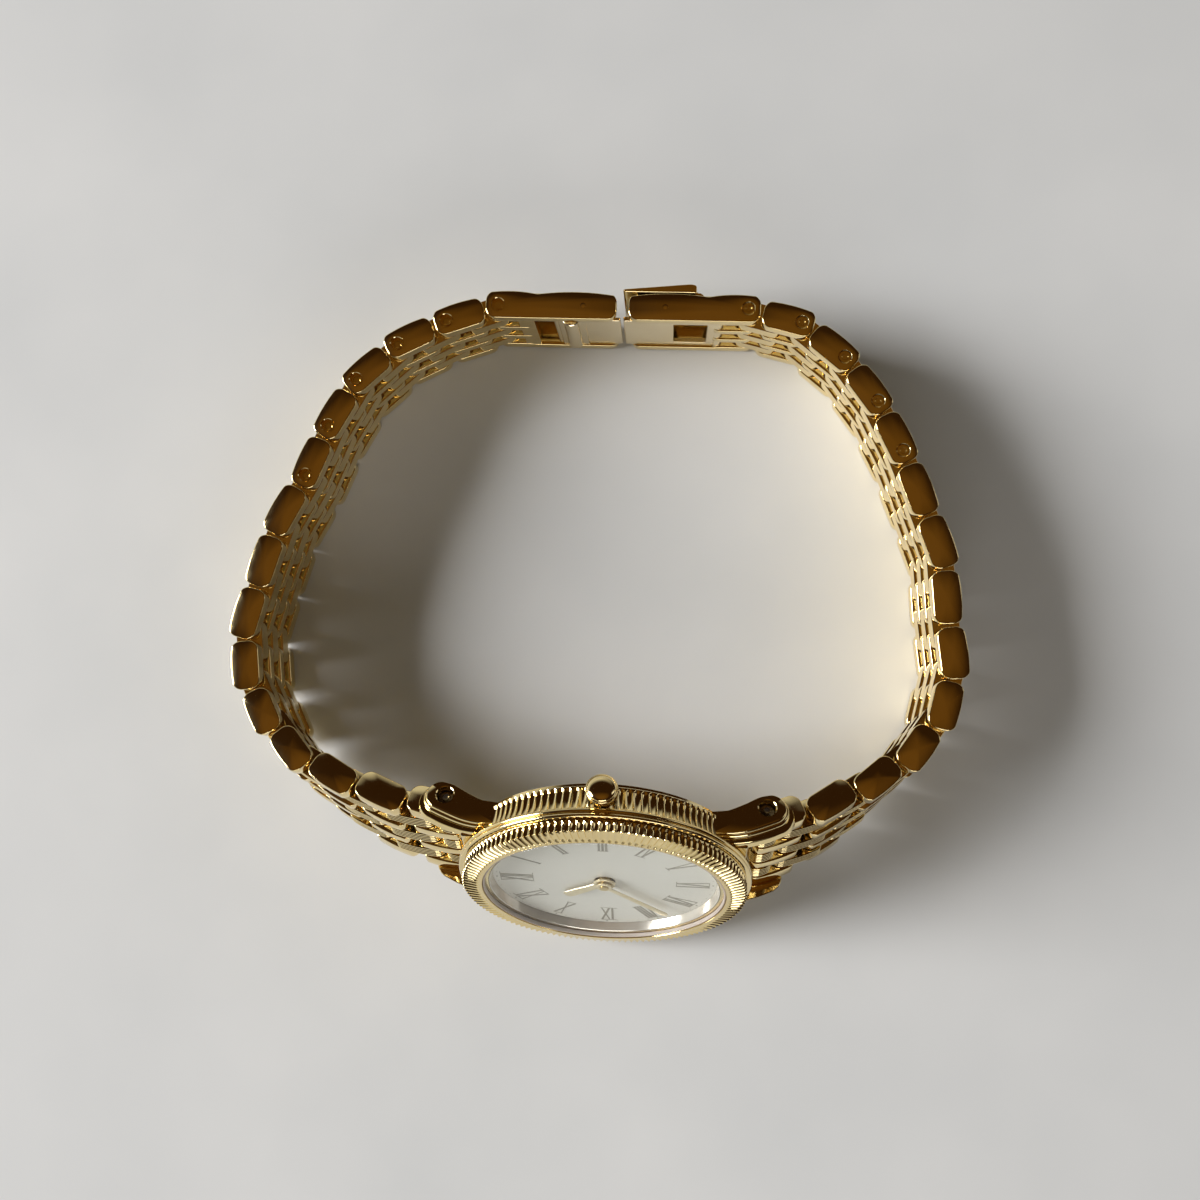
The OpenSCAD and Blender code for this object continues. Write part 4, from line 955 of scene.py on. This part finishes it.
# --- Clasp cover ----------------------------------------------------------
# Thin wedge-shaped polished lever on the outer side, lifted to open the clasp.
w = width_at_clasp / 2
lever_rear, lever_end, lever_level = cover_pin + 0.3, clasp_length + 0.6, half_thick + 0.1
wedge = spread([(lever_rear, lever_level), (lever_end, lever_level),
                (lever_end, lever_level + 0.3), (lever_rear + 0.6, lever_level + 0.9),
                (lever_rear, lever_level + 0.8), (lever_rear, lever_level)], 120)[:-1]
rims = ((w - 0.1, 0.06), (w - 0.13, 0.02), (w - 0.18, 0.0))
rows = [(-y, drawn_in(wedge, d)) for y, d in rims]
rows += [(y, drawn_in(wedge, d)) for y, d in rims[::-1]]
lever = [side_by_side(rows),
         slab(cover_pin + 0.1, cover_pin + 0.5, wall + 0.12 - w, w - wall - 0.12,
              half_thick + 0.15, half_thick + 0.55, 0.1, 0.04),
         rod([(wall + 0.12 - w, 0.46), (wall + 0.17 - w, 0.5), (w - wall - 0.17, 0.5),
              (w - wall - 0.12, 0.46)], cover_pin, half_thick - 0.05),
         rod([(0.35 - w, 0.22), (w - 0.35, 0.22)], cover_pin, half_thick - 0.05)]
piece("clasp_cover_lever", lever, clasp[1], yellow_gold, "clasp_cover", "yellow_gold",
      "clasp_cover")

# --- Clasp tab and blade --------------------------------------------------
# Paler gold leaves folded flat inside: a round-ended catch tab on the left, and a
# long blade with a window on the right.
w = width_at_clasp / 2 - wall - 0.14
pin_level, leaf_front, leaf_rear, thin_rod = -0.6, -0.62, -1.1, 0.27


def roll(radius, rim, x, z):
    """A rod across a leaf with its two rims drawn in."""
    return rod([(-w, radius - rim), (-w + 0.05, radius), (w - 0.05, radius), (w, radius - rim)],
               x, z)


tab = [roll(0.35, 0.05, tab_pin, -0.75),
       rod([(-w, 0.75), (-w + 0.08, 0.85), (w - 0.08, 0.85), (w, 0.75)], tab_pin + 1.45, -0.85),
       rod([(-w - 0.8, thin_rod), (w + 0.8, thin_rod)], tab_pin, pin_level),
       slab(tab_pin + 0.2, tab_pin + 0.25 * clasp_length, -w, w, leaf_rear - 0.12, leaf_front),
       slab(tab_pin + 0.21 * clasp_length, clasp_length + 0.35, -w, w, leaf_rear,
            leaf_front - 0.1)]
piece("clasp_tab_leaf", tab, clasp[-1], pale_gold, "clasp_tab", "pale_gold", "clasp_tab")
blade = [roll(0.62, 0.05, blade_pin, pin_level),
         rod([(-w - 0.8, thin_rod), (w + 0.8, thin_rod)], blade_pin, pin_level),
         slab(blade_pin, clasp_length + 0.5, -w, w, leaf_rear, leaf_front,
              window=(blade_pin + 0.095 * clasp_length, blade_pin + 0.38 * clasp_length,
                      -w + 0.9, w - 0.9))]
piece("clasp_blade_leaf", blade, clasp[1], pale_gold, "clasp_blade", "pale_gold", "clasp_blade")


# --- Movement -------------------------------------------------------------
# The quartz movement inside the case: brass plates and wheels, steel stator and
# battery, a green board and a copper coil. It keeps the shapes of the CAD model.
def plain_finish(name, dark, light, rough, metal):
    """One tone with fine mottling, for the parts inside the case."""
    f, n = mottled(name, dark, light, 300.0, 3.0, Metallic=metal)
    f.feed("Roughness", n * 0.15 + (rough - 0.07))
    return f


brass = plain_finish("plate_brass", (0.60, 0.46, 0.22), (0.72, 0.57, 0.30), 0.32, 1.0)
steel = plain_finish("drawn_steel", (0.48, 0.47, 0.45), (0.60, 0.59, 0.57), 0.25, 1.0)
white = plain_finish("casing_plastic", (0.70, 0.69, 0.66), (0.80, 0.79, 0.76), 0.5, 0.0)
copper = plain_finish("coil_copper", (0.62, 0.28, 0.15), (0.78, 0.38, 0.22), 0.35, 1.0)
green = plain_finish("board_green", (0.02, 0.14, 0.06), (0.03, 0.20, 0.09), 0.45, 0.0)
inside = {brass: ("centre_wheel", "hour_wheel", "minute_wheel", "third_wheel", "mainplate",
                  "train_bridge"),
          steel: ("rotor", "stator", "battery", "stem", "crown_tube"),
          white: ("casing_ring",), copper: ("coil",), green: ("circuit_board",)}
for finish, nodes in inside.items():
    for node in nodes:
        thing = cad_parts[node]
        for i in range(len(thing.material_slots)):
            thing.material_slots[i].material = finish.material
